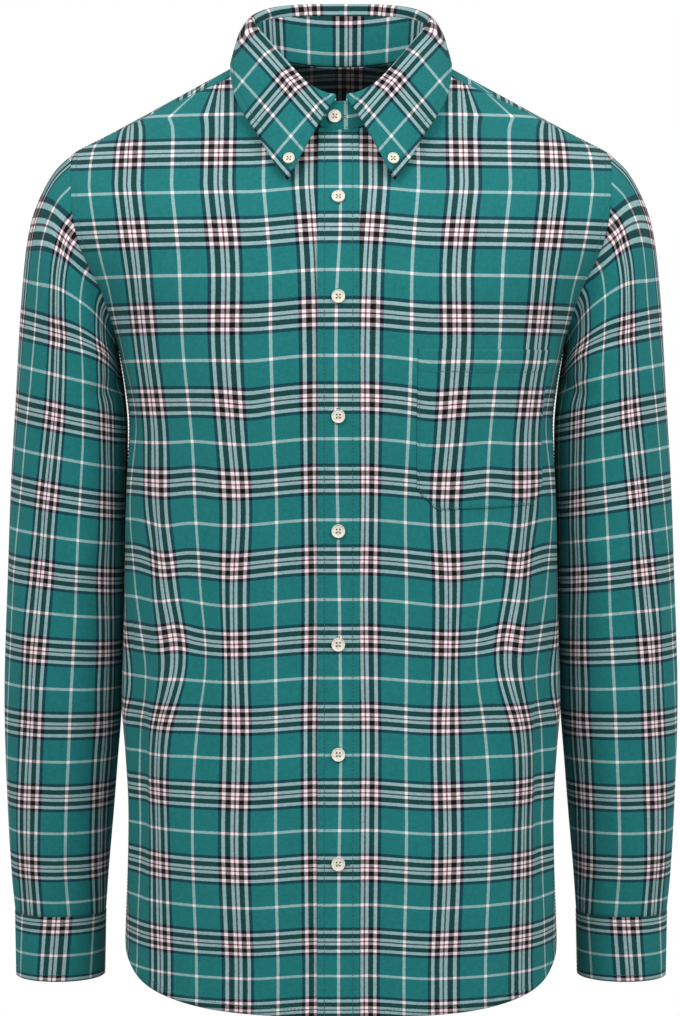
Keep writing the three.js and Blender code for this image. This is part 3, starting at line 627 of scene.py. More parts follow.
    def level_check(self, points: Array) -> Array:
        """The check's level coordinate at points of the fronts and the back.

        Args:
            points: The points.

        Returns:
            Repeats, whole at the heights in LEVELS.
        """
        lines = np.array(LEVELS)
        out = smoothstep(np.abs(points[..., 0]), self.droop_from, self.droop_to)
        z = points[..., 2] + self.droop * out
        for wave in WAVES:
            across = (np.abs(points[..., 0]) - wave.x) / wave.half_x
            along = (points[..., 2] - wave.z) / wave.half_z
            z = z + wave.dip * np.exp(-(across**2 + along**2))
        count = np.arange(len(lines))
        inside = np.interp(-z, -lines, count)
        above = (lines[0] - z) / (lines[0] - lines[1])
        below = count[-1] + (lines[-1] - z) / (lines[-2] - lines[-1])
        return np.where(z > lines[0], above, np.where(z < lines[-1], below, inside))

    def neck_plan(self, angle: Array) -> tuple[Array, Array]:
        """Plan coordinates of the neck's edge at an angle round it."""
        depth = np.where(np.cos(angle) > 0, self.neck_front, self.neck_back)
        return self.neck_width * np.sin(angle), -depth * np.cos(angle)

    def armhole(self, angle: Array) -> Array:
        """Points of the wearer's left armhole.

        Args:
            angle: Angles round it, 0 at the shoulder and growing over the front.

        Returns:
            The points.
        """
        middle = (self.armhole_top + self.armhole_bottom) / 2
        z = middle + (self.armhole_top - middle) * np.cos(angle)
        depth = np.where(np.sin(angle) > 0, self.armhole_front, self.armhole_back)
        y = -depth * np.sin(angle)
        square = self.section("square", z)
        reach = (np.abs(y) / self.depth(y < 0, z)) ** square
        return np.stack([self.section("width", z) * (1 - reach) ** (1 / square), y, z], axis=-1)

    def armhole_row(self, turns: Array) -> Array:
        """Pairs of angle round the body and height along the armhole."""
        hole = self.armhole(turns)
        return np.stack([np.arctan2(hole[:, 0], -hole[:, 1]), hole[:, 2]], axis=-1)

    def armhole_angle_at_y(self, y: float) -> float:
        """Armhole angle, over the front, at which it lies at y."""
        return math.asin(-y / self.armhole_front)

    def armhole_angle_at_z(self, z: float) -> float:
        """Armhole angle at which it lies at a height."""
        middle = (self.armhole_top + self.armhole_bottom) / 2
        return math.acos((z - middle) / (self.armhole_top - middle))

    def yoke_seam(self, share: Array) -> tuple[Array, Array]:
        """Plan of the yoke's front seam.

        Args:
            share: Shares of its length, 0 at the neck and 1 at the armhole.

        Returns:
            Distances to the wearer's left and back.
        """
        neck_x, neck_y = self.neck_plan(np.array(self.yoke_angle))
        end = self.armhole(np.array(self.armhole_angle_at_y(self.yoke_armhole_y)))
        bow = self.yoke_bow * np.sin(math.pi * np.sqrt(share))
        return lerp(neck_x, end[0], share), lerp(neck_y, end[1], share) - bow


def bilinear(values: Array, rows: Array, columns: Array) -> Array:
    """Read a grid between its points.

    Args:
        values: The grid, rows by columns, with any number of values at each point.
        rows: Fractional rows.
        columns: Fractional columns.

    Returns:
        The values there.
    """
    i = np.clip(np.floor(rows).astype(int), 0, values.shape[0] - 2)
    j = np.clip(np.floor(columns).astype(int), 0, values.shape[1] - 2)
    down = rows - i
    across = columns - j
    if values.ndim > 2:
        down, across = down[..., None], across[..., None]
    upper = lerp(values[i, j], values[i, j + 1], across)
    lower = lerp(values[i + 1, j], values[i + 1, j + 1], across)
    return lerp(upper, lower, down)


def blend_patch(top: Array, bottom: Array, left: Array, right: Array) -> Array:
    """Blend a patch between its four sides, as a Coons patch.

    Args:
        top: The top side, columns by two.
        bottom: The bottom side.
        left: The first column, rows by two.
        right: The last column.

    Returns:
        The patch, rows by columns by two.
    """
    down = np.linspace(0, 1, len(left))[:, None, None]
    across = np.linspace(0, 1, len(top))[None, :, None]
    corners = lerp(lerp(top[0], top[-1], across), lerp(bottom[0], bottom[-1], across), down)
    return lerp(top[None], bottom[None], down) + lerp(left[:, None], right[:, None], across) - corners


# Cloth

@dataclass
class Cloth:
    """A piece of cloth: a grid of points in mm that runs so that rows cross columns face outwards.

    check holds the check's two coordinates, counted in repeats, at each point. In a ring the last
    column joins the first, and check has one more column than points.
    """

    points: Array
    check: Array
    ring: bool = False

    @cached_property
    def normals(self) -> Array:
        """Outward normals at the points.

        Returns:
            The normals, rows by columns by three.
        """
        if self.ring:
            padded = np.concatenate([self.points[:, -1:], self.points, self.points[:, :1]], axis=1)
            along = padded[:, 2:] - padded[:, :-2]
        else:
            along = np.gradient(self.points, axis=1)
        return unit(np.cross(np.gradient(self.points, axis=0), along))

    def distance(self, edge: Edge) -> Array:
        """Measure along the grid how far each point is from one edge.

        Args:
            edge: The edge.

        Returns:
            The distances, rows by columns.
        """
        runs = runs_along(self.points, 0 if edge in (Edge.TOP, Edge.BOTTOM) else 1)
        if edge is Edge.BOTTOM:
            return runs[-1:] - runs
        return runs[:, -1:] - runs if edge is Edge.END else runs

    def line(self, edge: Edge, inset: float) -> Array:
        """Follow an edge at a distance inside it.

        Args:
            edge: The edge that the line follows.
            inset: Its distance from that edge.

        Returns:
            The line's points as pairs of fractional row and column.
        """
        distance = self.distance(edge)
        rows, columns = distance.shape
        if edge in (Edge.START, Edge.END):
            order = slice(None) if edge is Edge.START else slice(None, None, -1)
            places = [np.interp(inset, distance[i, order], np.arange(columns)[order]) for i in range(rows)]
            return np.stack([np.arange(rows), places], axis=-1)
        order = slice(None) if edge is Edge.TOP else slice(None, None, -1)
        places = [np.interp(inset, distance[order, j], np.arange(rows)[order]) for j in range(columns)]
        return np.stack([places, np.arange(columns)], axis=-1)

    def at(self, line: Array) -> tuple[Array, Array]:
        """Points and outward normals at pairs of fractional row and column."""
        place = bilinear(self.points, line[:, 0], line[:, 1])
        return place, unit(bilinear(self.normals, line[:, 0], line[:, 1]))

    def seam(
        self, edge: Edge, inset: float, height: float, start: float = 0, end: float = 1
    ) -> tuple[Array, Array]:
        """Follow an edge with a sewn line.

        Args:
            edge: The edge that it follows.
            inset: Its distance inside that edge.
            height: Its height over the cloth's middle surface.
            start: Share of the edge where it starts.
            end: Share where it ends.

        Returns:
            The line's points and the outward normals there.
        """
        line = self.line(edge, inset)
        line = line[int(start * len(line)) : max(int(end * len(line)), 2)]
        place, normal = self.at(line)
        return place + normal * height, normal

    def nearest(self, place: Array) -> Array:
        """Outward normal at the point of the cloth that is nearest to a place."""
        gaps = np.linalg.norm(self.points - place, axis=-1)
        return self.normals[np.unravel_index(np.argmin(gaps), gaps.shape)]

    def moved(self, height: Values) -> "Cloth":
        """The same cloth with its points moved out by a height."""
        out = np.broadcast_to(np.asarray(height, float), self.points.shape[:2])
        return Cloth(self.points + self.normals * out[..., None], self.check, self.ring)

    def mirrored(self) -> "Cloth":
        """The same cloth on the other side of the body, still facing outwards."""
        return Cloth(self.points[:, ::-1] * np.array([-1, 1, 1]), self.check[:, ::-1], self.ring)


def make_mesh(name: str, vertices: Array, faces: list, check: Array | None) -> Object:
    """Make a mesh object from points in mm.

    Args:
        name: The object's name.
        vertices: Points, in mm.
        faces: Lists of vertex numbers.
        check: The check's coordinates at each face corner, in the order of the faces, or None.

    Returns:
        The new object, at the origin, smooth shaded.
    """
    mesh = bpy.data.meshes.new(name)
    mesh.from_pydata((vertices * MM).tolist(), [], faces)
    if check is not None:
        layer = mesh.uv_layers.new(name=CHECK_MAP)
        layer.data.foreach_set("uv", check.astype(np.float32).ravel())
    mesh.shade_smooth()
    mesh.update()
    piece = bpy.data.objects.new(name, mesh)
    bpy.context.scene.collection.objects.link(piece)
    return piece


def paint_inside_shade(piece: Object, count: int, strength: float) -> None:
    """Paint shade on a wall's inner face, which the light hardly reaches.

    Args:
        piece: The wall.
        count: How many points its outer face has, and its inner face after it.
        strength: How dark the painted shade is, from 0 to 1.
    """
    layer = piece.data.attributes.new(PAINTED_SHADE, "FLOAT", "POINT")
    values = np.zeros(len(piece.data.vertices), np.float32)
    values[count : 2 * count] = strength
    layer.data.foreach_set("value", values)


def wall(name: str, cloth: Cloth, outer: Values, inner: Values) -> Object:
    """Give a piece of cloth its thickness, with rounded edges.

    Args:
        name: The object's name.
        cloth: The cloth's middle surface.
        outer: Distance of the outer face from the middle surface, alone or at each point.
        inner: Distance of the inner face from it.

    Returns:
        The closed wall.
    """
    rows, columns = cloth.points.shape[:2]
    outer = np.broadcast_to(np.asarray(outer, float), (rows, columns))
    inner = np.broadcast_to(np.asarray(inner, float), (rows, columns))
    outside = (cloth.points + cloth.normals * outer[..., None]).reshape(-1, 3)
    inside = (cloth.points - cloth.normals * inner[..., None]).reshape(-1, 3)
    count = rows * columns
    wide = cloth.check.shape[1]
    last = columns if cloth.ring else columns - 1
    i, j = (part.ravel() for part in np.meshgrid(np.arange(rows - 1), np.arange(last), indexing="ij"))

    def corners(a: Array, b: Array) -> tuple[Array, Array]:
        """Vertex numbers and check numbers of grid places."""
        return a * columns + b % columns, a * wide + b

    ring = [corners(i, j), corners(i + 1, j), corners(i + 1, j + 1), corners(i, j + 1)]
    outer_faces = np.stack([part[0] for part in ring], axis=1)
    inner_faces = outer_faces[:, ::-1] + count
    outer_check = np.stack([part[1] for part in ring], axis=1)
    if cloth.ring:
        around = np.arange(columns)
        loops = [
            np.stack([np.zeros(columns, int), around], axis=1),
            np.stack([np.full(columns, rows - 1), around[::-1]], axis=1),
        ]
    else:
        over, under = np.arange(columns), np.arange(rows)
        loops = [np.concatenate([
            np.stack([np.zeros(columns, int), over], axis=1),
            np.stack([under[1:], np.full(rows - 1, columns - 1)], axis=1),
            np.stack([np.full(columns - 1, rows - 1), over[-2::-1]], axis=1),
            np.stack([under[-2:0:-1], np.zeros(rows - 2, int)], axis=1),
        ])]
    vertices = [outside, inside]
    faces = [outer_faces, inner_faces]
    check = [outer_check, outer_check[:, ::-1]]
    start = 2 * count
    for loop in loops:
        a, b = loop[:, 0], loop[:, 1]
        place = cloth.points[a, b]
        normal = cloth.normals[a, b]
        tangent = unit(np.roll(place, -1, axis=0) - np.roll(place, 1, axis=0))
        depth = (outer[a, b] + inner[a, b])[:, None] / 2
        middle = normal * ((outer[a, b] - inner[a, b]) / 2)[:, None]
        vertices.append(place + middle + unit(np.cross(normal, tangent)) * depth * EDGE_ROUND)
        flat, wide_place = a * columns + b, a * wide + b
        edge = start + np.arange(len(loop))
        nxt = np.roll(np.arange(len(loop)), -1)
        faces.append(np.stack([flat, flat[nxt], edge[nxt], edge], axis=1))
        faces.append(np.stack([edge, edge[nxt], flat[nxt] + count, flat + count], axis=1))
        along = np.stack([wide_place, wide_place[nxt], wide_place[nxt], wide_place], axis=1)
        check += [along, along]
        start += len(loop)
    numbers = np.concatenate(check).ravel()
    coordinates = cloth.check.reshape(-1, 2)[numbers]
    return make_mesh(name, np.concatenate(vertices), np.concatenate(faces).tolist(), coordinates)


def groove(distance: Array, depth: float, half: float) -> Array:
    """Depth of the line that stitches press into the cloth, at distances from its middle."""
    return depth * np.exp(-((distance / half) ** 2))


@dataclass(frozen=True)
class Stitching:
    """A row of sewn stitches that lie on the cloth and dip into it at both ends. Millimetres.

    shape is a stitch's place along its length, girth and height at each of its rings.
    """

    length: float = 2.2
    pitch: float = 3.0
    radius: float = 0.26
    crosswise: bool = False
    sides: int = 5
    shape: tuple[tuple[float, float, float], ...] = (
        (-0.5, 0.55, -0.6), (-0.28, 1.0, 0.25), (0.28, 1.0, 0.25), (0.5, 0.55, -0.6),
    )

    def along(self, paths: list[Path], name: str) -> Object:
        """Sew stitches along paths.

        Args:
            paths: Points in mm and the outward normals there, a pair for each path.
            name: The object's name.

        Returns:
            All the stitches as one object.
        """
        angles = np.linspace(0, 2 * math.pi, self.sides + 1)[:-1]
        strands = []
        for place, normal in paths:
            runs = np.concatenate([[0], np.cumsum(np.linalg.norm(np.diff(place, axis=0), axis=1))])
            middles = np.arange(self.pitch / 2, runs[-1], self.pitch)

            def read(values: Array, where: Array) -> Array:
                """Read values along the path."""
                return np.stack([np.interp(where, runs, values[:, k]) for k in range(3)], axis=-1)

            tangent = unit(read(place, middles + 0.5) - read(place, middles - 0.5))
            out = read(normal, middles)
            out = unit(out - tangent * np.sum(out * tangent, axis=-1, keepdims=True))
            side = np.cross(out, tangent)
            if self.crosswise:
                tangent, side = side, -tangent
            at = read(place, middles)
            for n in range(len(middles)):
                rings = []
                for along, girth, height in self.shape:
                    centre = at[n] + tangent[n] * along * self.length + out[n] * height * self.radius
                    rings.append([
                        centre + (side[n] * math.cos(turn) + out[n] * math.sin(turn)) * girth * self.radius
                        for turn in angles
                    ])
                strands.append(rings)
        return skin(strands, name)


def skin(strands: list[list], name: str) -> Object:
    """Make closed strands.

    Args:
        strands: For each, the rings of points along it.
        name: The object's name.

    Returns:
        All the strands as one object.
    """
    vertices, faces = [], []
    for rings in strands:
        base, count = len(vertices), len(rings[0])
        last = base + (len(rings) - 1) * count
        for start in range(base, last, count):
            for n in range(count):
                a, b = start + n, start + (n + 1) % count
                faces.append([a, b, b + count, a + count])
        faces += [[base + n for n in range(count)][::-1], [last + n for n in range(count)]]
        vertices += [point for ring in rings for point in ring]
    return make_mesh(name, np.array(vertices), faces, None)


def tube(paths: list[Path], radius: float, name: str) -> Object:
    """Make thick threads along paths.

    Args:
        paths: Points in mm and the outward normals there, a pair for each path.
        radius: The threads' radius.
        name: The object's name.

    Returns:
        All the threads as one object.
    """
    turns = np.linspace(0, 2 * math.pi, 9)[:-1]
    strands = []
    for place, normal in paths:
        tangent = unit(np.gradient(place, axis=0))
        side = unit(np.cross(normal, tangent))
        over = np.cross(tangent, side)
        strands.append([
            [place[k] + radius * (side[k] * math.cos(turn) + over[k] * math.sin(turn)) for turn in turns]
            for k in range(len(place))
        ])
    return skin(strands, name)


# Finishes

def linear(hex_colour: str) -> tuple[float, float, float, float]:
    """Turn an sRGB colour to linear light.

    Args:
        hex_colour: The colour, as #rrggbb.

    Returns:
        Red, green, blue and a full alpha.
    """
    parts = [int(hex_colour[k : k + 2], 16) / 255 for k in (1, 3, 5)]
    light = [part / 12.92 if part <= 0.04045 else ((part + 0.055) / 1.055) ** 2.4 for part in parts]
    return (light[0], light[1], light[2], 1.0)


def add_node(tree: NodeTree, kind: str, settings: dict | None = None, **inputs: object) -> Node:
    """Add a node with its settings and links.

    Args:
        tree: The node tree.
        kind: The node's type.
        settings: Properties of the node.
        **inputs: Its inputs by name with spaces as underscores, or in_0, in_1 by number: a socket
            is linked and anything else is set.

    Returns:
        The node.
    """
    node = tree.nodes.new(kind)
    for key, value in (settings or {}).items():
        setattr(node, key, value)
    for key, value in inputs.items():
        socket = node.inputs[int(key[3:])] if key.startswith("in_") else node.inputs[key.replace("_", " ")]
        if isinstance(value, NodeSocket):
            tree.links.new(value, socket)
        else:
            socket.default_value = value
    return node


def compute(tree: NodeTree, operation: str, *values: object) -> NodeSocket:
    """Result of a math node's operation on sockets or numbers."""
    inputs = {f"in_{number}": value for number, value in enumerate(values)}
    return add_node(tree, "ShaderNodeMath", {"operation": operation}, **inputs).outputs[0]


def compute_vector(tree: NodeTree, operation: str, **inputs: object) -> NodeSocket:
    """Result of a vector math node's operation on its inputs."""
    return add_node(tree, "ShaderNodeVectorMath", {"operation": operation}, **inputs).outputs[0]


def mix(tree: NodeTree, kind: str, share: object, one: object, two: object) -> NodeSocket:
    """Result of a colour mix of a kind, at a share of the way from one to two."""
    settings = {"data_type": "RGBA", "blend_type": kind}
    return add_node(tree, "ShaderNodeMix", settings, in_0=share, in_6=one, in_7=two).outputs[2]


def noise(tree: NodeTree, scale: float, **inputs: object) -> Node:
    """A noise texture in the piece's own space, at a scale counted to the metre."""
    space = add_node(tree, "ShaderNodeTexCoord")
    return add_node(tree, "ShaderNodeTexNoise", Vector=space.outputs["Object"], Scale=scale, **inputs)


def new_material(name: str) -> tuple[Material, NodeTree, Node]:
    """Start a material.

    Args:
        name: Its name.

    Returns:
        The material, its node tree and its Principled shader, which is linked to the output.
    """
    material = bpy.data.materials.new(name)
    material.use_nodes = True
    tree = material.node_tree
    tree.nodes.clear()
    shader = add_node(tree, "ShaderNodeBsdfPrincipled")
    add_node(tree, "ShaderNodeOutputMaterial", Surface=shader.outputs[0])
    return material, tree, shader


@dataclass(frozen=True)
class Flannel:
    """Brushed cotton twill, woven in a check from dyed yarns.

    Each yarn shows half where it crosses another, so two pale yarns cross white and a pale one is
    greyed by the ground. The two are mixed as the eye sees them, not as light adds. Brushing
    leaves a short nap that takes the gloss away and lightens the cloth where it turns from the
    eye. Inner faces that a piece marks carry painted shade, mixed towards near-black. Sizes are in mm.
    """

    name: str = "brushed_cotton_flannel"
    ground: str = "#217777"
    pale: str = "#fbeff1"
    navy: str = "#0f1226"
    wine: str = "#641226"
    band: str = "#170e12"
    # Near-black colour of the shade painted on marked inner faces
    painted_shade_colour: str = "#04090a"
    wine_to: float = 0.010
    pale_to: float = 0.048
    band_to: float = 0.113
    wide_pale_to: float = 0.155
    navy_to: float = 0.197
    ground_to: float = 0.482
    soft: float = 0.004
    repeat: float = REPEAT
    nap: float = 1.5
    mottle: float = 3.2
    mottled: float = 0.1
    fuzz: float = 0.009
    gamma: float = 2.2
    twill: float = 2.0
    twill_share: float = 0.10
    relief: float = 0.0006
    roughness: float = 0.92
    specular: float = 0.08
    sheen: float = 0.07
    sheen_roughness: float = 0.55
    sheen_tint: tuple[float, ...] = (0.75, 0.9, 0.9, 1.0)

    def yarns(self, tree: NodeTree, coordinate: NodeSocket) -> NodeSocket:
        """Colour of the yarns across one direction of the check.

        Args:
            tree: The node tree.
            coordinate: Repeats counted across the yarns, whole at the centre of a bundle.

        Returns:
            The yarns' colour, as the eye sees it.
        """
        from_centre = compute(tree, "PINGPONG", coordinate, 0.5)
        ramp = add_node(tree, "ShaderNodeValToRGB", Fac=compute(tree, "MULTIPLY", from_centre, 2.0))
        changes = [
            (self.wine_to, self.wine, self.pale), (self.pale_to, self.pale, self.band),
            (self.band_to, self.band, self.pale), (self.wide_pale_to, self.pale, self.navy),
            (self.navy_to, self.navy, self.ground), (self.ground_to, self.ground, self.pale),
        ]
        stops = [(0.0, self.wine)]
        for place, before, after in changes:
            stops += [(place - self.soft / 2, before), (place + self.soft / 2, after)]
        elements = ramp.color_ramp.elements
        while len(elements) < len(stops):
            elements.new(1.0)
        for element, (place, colour) in zip(elements, stops):
            element.position = place * 2
            element.color = linear(colour)
        return add_node(tree, "ShaderNodeGamma", Color=ramp.outputs[0], Gamma=1 / self.gamma).outputs[0]

    def colour(self, tree: NodeTree, check: NodeSocket, fuzz: Node) -> NodeSocket:
        """Colour of the cloth.

        Args:
            tree: The node tree.
            check: The check's coordinates.
            fuzz: The nap's noise, which moves the edges of the stripes.

        Returns:
            The colour.
        """
        centred = compute_vector(tree, "SUBTRACT", in_0=fuzz.outputs[1], in_1=(0.5, 0.5, 0.5))
        small = compute_vector(tree, "SCALE", in_0=centred, Scale=self.fuzz)
        uneven = compute_vector(tree, "ADD", in_0=check, in_1=small)
        parts = add_node(tree, "ShaderNodeSeparateXYZ", in_0=uneven)
        warp, weft = (self.yarns(tree, parts.outputs[k]) for k in range(2))
        mean = mix(tree, "MIX", 0.5, warp, weft)
        woven = add_node(tree, "ShaderNodeGamma", Color=mean, Gamma=self.gamma).outputs[0]
        patches = noise(tree, 1 / (self.mottle * MM), Detail=4.0, Roughness=0.65).outputs[0]
        shade = add_node(
            tree, "ShaderNodeMapRange", in_0=patches, in_1=0.3, in_2=0.7, in_3=1 - self.mottled,
            in_4=1 + self.mottled,
        )
        napped = mix(tree, "MULTIPLY", 1.0, woven, shade.outputs[0])
        # Painted shade: marked inner faces are mixed towards the near-black painted shade colour
        inside = add_node(tree, "ShaderNodeAttribute", {"attribute_name": PAINTED_SHADE})
        return mix(tree, "MIX", inside.outputs["Fac"], napped, linear(self.painted_shade_colour))

    def build(self) -> Material:
        """Make the material.

        Returns:
            The material.
        """
        material, tree, shader = new_material(self.name)
        check = add_node(tree, "ShaderNodeUVMap", {"uv_map": CHECK_MAP}).outputs[0]
        fuzz = noise(tree, 1 / (self.nap * MM), Detail=2.0, Roughness=0.6)
        tree.links.new(self.colour(tree, check, fuzz), shader.inputs["Base Color"])
        for name, value in (
            ("Roughness", self.roughness), ("Specular IOR Level", self.specular),
            ("Sheen Weight", self.sheen),
            ("Sheen Roughness", self.sheen_roughness), ("Sheen Tint", self.sheen_tint),
        ):
            shader.inputs[name].default_value = value
        parts = add_node(tree, "ShaderNodeSeparateXYZ", in_0=check)
        diagonal = compute(tree, "ADD", parts.outputs[0], parts.outputs[1])
        turns = compute(tree, "MULTIPLY", diagonal, 2 * math.pi * self.repeat / self.twill)
        ribs = compute(tree, "SINE", turns)
        height = compute(tree, "MULTIPLY_ADD", ribs, self.twill_share, fuzz.outputs[0])
        bump = add_node(tree, "ShaderNodeBump", Strength=0.5, Distance=self.relief, Height=height)
        tree.links.new(bump.outputs[0], shader.inputs["Normal"])
        return material


@dataclass(frozen=True)
class SewingThread:
    """Spun polyester thread: a slight gloss and a twist too fine to see."""

    name: str = "green_polyester_thread"
    colour: str = "#2b7f80"
    shadow: str = "#1d6466"
    fibres: float = 1400
    roughness: float = 0.6

    def build(self) -> Material:
        """Make the material.

        Returns:
            The material.
        """
        material, tree, shader = new_material(self.name)
        ramp = add_node(tree, "ShaderNodeValToRGB", Fac=noise(tree, self.fibres, Detail=2.0).outputs[0])
        ramp.color_ramp.elements[0].color = linear(self.shadow)
        ramp.color_ramp.elements[1].color = linear(self.colour)
        tree.links.new(ramp.outputs[0], shader.inputs["Base Color"])
        shader.inputs["Roughness"].default_value = self.roughness
        return material


@dataclass(frozen=True)
class ButtonResin:
    """Cast polyester button, cream and faintly clouded as horn is, with a soft polish."""

    name: str = "cast_polyester_button"
    light: str = "#f3f0e4"
    dark: str = "#e0dac6"
    clouds: float = 260
    cloudy: tuple[float, float] = (0.35, 0.65)
    roughness: float = 0.32
    depth: float = 0.15
    depths: tuple[float, float, float] = (0.002, 0.0015, 0.001)

    def build(self) -> Material:
        """Make the material.

        Returns:
            The material.
        """
        material, tree, shader = new_material(self.name)
        cloud = noise(tree, self.clouds, Detail=4.0, Distortion=1.2)
        ramp = add_node(tree, "ShaderNodeValToRGB", Fac=cloud.outputs[0])
        for element, place, colour in zip(ramp.color_ramp.elements, self.cloudy, (self.dark, self.light)):
            element.position = place
            element.color = linear(colour)
        tree.links.new(ramp.outputs[0], shader.inputs["Base Color"])
        shader.inputs["Roughness"].default_value = self.roughness
        shader.inputs["Subsurface Weight"].default_value = self.depth
        shader.inputs["Subsurface Radius"].default_value = self.depths
        return material


@dataclass
class Finishes:
    """The materials, each made once."""

    flannel: Material = field(default_factory=lambda: Flannel().build())
    thread: Material = field(default_factory=lambda: SewingThread().build())
    button_thread: Material = field(
        default_factory=lambda: SewingThread("cream_polyester_thread", "#e9e4d2", "#b9b29c").build()
    )
    resin: Material = field(default_factory=lambda: ButtonResin().build())


def dress(piece: Object, material: Material, slot: str, *nodes: str) -> None:
    """Give a piece its material, let it ride, and let it stand for CAD nodes.

    Args:
        piece: The piece.
        material: Its finish.
        slot: Not used.
        *nodes: The CAD nodes that it stands for.
    """
    piece.data.materials.append(material)
    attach(piece, "root")
    if nodes:
        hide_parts(*nodes)
    piece.data.calc_loop_triangles()
    log.info("%s: %d triangles", piece.name, len(piece.data.loop_triangles))


@dataclass(frozen=True)
class Cut:
    """How a piece of cloth was cut flat, in metres, and what holds it.

    share is the part of the width by the length that the piece fills.
    """

    width: float
    length: float
    share: float
    held: str
    rests_on: str


def sew_piece(
    node: str, cloth: Cloth, outer: Values, inner: Values, flannel: Material,
) -> Object:
    """Make a cut piece of cloth in place of its CAD node.

    Args:
        node: The CAD node.
        cloth: The piece's middle surface.
        outer: Distance of its outer face from that surface.
        inner: Distance of its inner face.
        flannel: Its material.

    Returns:
        The piece.
    """
    piece = wall(f"{node}_cloth", cloth, outer, inner)
    dress(piece, flannel, "flannel", node)
    return piece


# Panels of the body

@dataclass
class Panels:
    """Fronts, back and yoke. Millimetres."""

    form: BodyForm
    finishes: Finishes
    cloth: float = 0.9
    gap: float = 0.1
    left_edge: float = 12
    right_edge: float = -13
    left_lift: float = 0.95
    step_from: float = 3
    step_to: float = 14
    hem_front: float = -792
    hem_back: float = -799
    hem_rise: float = 57
    hem_power: float = 3.6
    half_front: float = 235
    hem_width: float = 7
    felled: float = 6
    # How dark the shade painted on the panels' inner faces is
    inside: float = 0.85
    hem_height: float = 0.4
    groove: float = 0.3
    groove_half: float = 0.9
    felled_height: float = 0.35
    felled_edge: float = 1.5
    yoke_stitched: float = 1.6
    yoke_rows: int = 37
    yoke_bundle: float = 142
    yoke_repeat: float = 67
    yoke_weft: float = 0.35
    neck_steps: int = 26
    shoulder_steps: int = 58
    upper_rows: int = 64
    lower_rows: int = 140

    @property
    def sides(self) -> dict[str, tuple[Edge, ...]]:
        """The side edges of each panel that reaches the hem."""
        return {"front_left": (Edge.END,), "front_right": (Edge.START,), "back": (Edge.START, Edge.END)}

    def hem(self, lowest: float, share: Array) -> Array:
        """Height of the hem at a share of the way from the centre to the side seam."""
        return lerp(lowest, self.hem_front + self.hem_rise, share**self.hem_power)

    def lower_part(self, lowest: float, start: Array, end: Array, shares: Array) -> Array:
        """Angles and heights of a panel from the armpit down.

        Args:
            lowest: Height of its hem at the centre.
            start: Distances round the front of its first column at the levels of the rows.
            end: Distances of its last column.
            shares: Share of the way to the side seam at each column, for the hem's curve.

        Returns:
            Rows by columns by two, angle and height.
        """
        form = self.form
        downs = np.linspace(0, 1, self.lower_rows + 1)[1:]
        rows = []
        for number, down in enumerate(downs):
            level = lerp(form.armhole_bottom, self.hem_front, down)
            runs = np.linspace(start[number], end[number], len(shares))
            angles = form.angle_at(np.full(len(runs), level), runs)
            z = lerp(form.armhole_bottom, self.hem(lowest, shares), down)
            rows.append(np.stack([angles, z], axis=-1))
        return np.array(rows)

    def levels(self) -> Array:
        """Heights of the lower rows at the centre front."""
        downs = np.linspace(0, 1, self.lower_rows + 1)[1:]
        return lerp(self.form.armhole_bottom, self.hem_front, downs)

    def front(self, edge: float, lifted: bool) -> Cloth:
        """One front as built on the wearer's left.

        Args:
            edge: Distance of its centre edge from the centre line.
            lifted: Whether it rises at its centre edge to lie over the other front.

        Returns:
            The front's cloth.
        """
        form = self.form
        neck = np.linspace(math.asin(edge / form.neck_width), form.yoke_angle, self.neck_steps + 1)
        x, y = form.neck_plan(neck)
        seam_x, seam_y = form.yoke_seam(np.linspace(0, 1, self.shoulder_steps + 1)[1:])
        x = np.concatenate([x, seam_x])
        y = np.concatenate([y, seam_y])
        top = np.stack([np.arctan2(x, -y), form.shoulder_height(x, y)], axis=-1)
        turns = np.linspace(form.armhole_angle_at_y(form.yoke_armhole_y), math.pi, self.upper_rows + 1)
        right = form.armhole_row(turns)
        top[-1] = right[0]
        side = RIGHT_ANGLE - self.gap / 2 / 180
        right[-1] = [side, form.armhole_bottom]
        heights = np.linspace(top[0, 1], form.armhole_bottom, self.upper_rows + 1)
        left = np.stack([form.angle_at(heights, np.full(len(heights), edge)), heights], axis=-1)
        left[0] = top[0]
        columns = len(top)
        last = float(form.run_at(side, form.armhole_bottom))
        bottom = form.level_row(form.armhole_bottom, edge, last, columns)
        upper = blend_patch(top, bottom, left, right)
        levels = self.levels()
        ends = form.run_at(side, levels)
        shares = np.linspace(abs(edge) / self.half_front, 1, columns)
        lower = self.lower_part(self.hem_front, np.full(len(levels), edge), ends, shares)
        place = np.concatenate([upper, lower])
        angle, z = place[..., 0], place[..., 1]
        lift = 0.0
        if lifted:
            near = form.point(angle, z, creased=False)[..., 0] - edge
            lift = self.left_lift * (1 - smoothstep(near, self.step_from, self.step_to))
        points = form.point(angle, z, lift)
        warp = form.on_lattice(form.lattice_warp, angle, z)
        return Cloth(points, np.stack([warp, form.level_check(points)], axis=-1))

    def back_seam(self, z: float) -> Array:
        """Pairs of angle and height along the back seam.

        Args:
            z: The height of the edge that lies along it.

        Returns:
            The pairs, from the centre to the wearer's left armhole.
        """
        form = self.form
        end = form.armhole(np.array(-form.armhole_angle_at_z(form.back_seam)))
        last = form.run_at(math.atan2(end[0], -end[1]), z)
        return form.level_row(z, form.run_at(math.pi, z), last, self.neck_steps + self.shoulder_steps + 1)

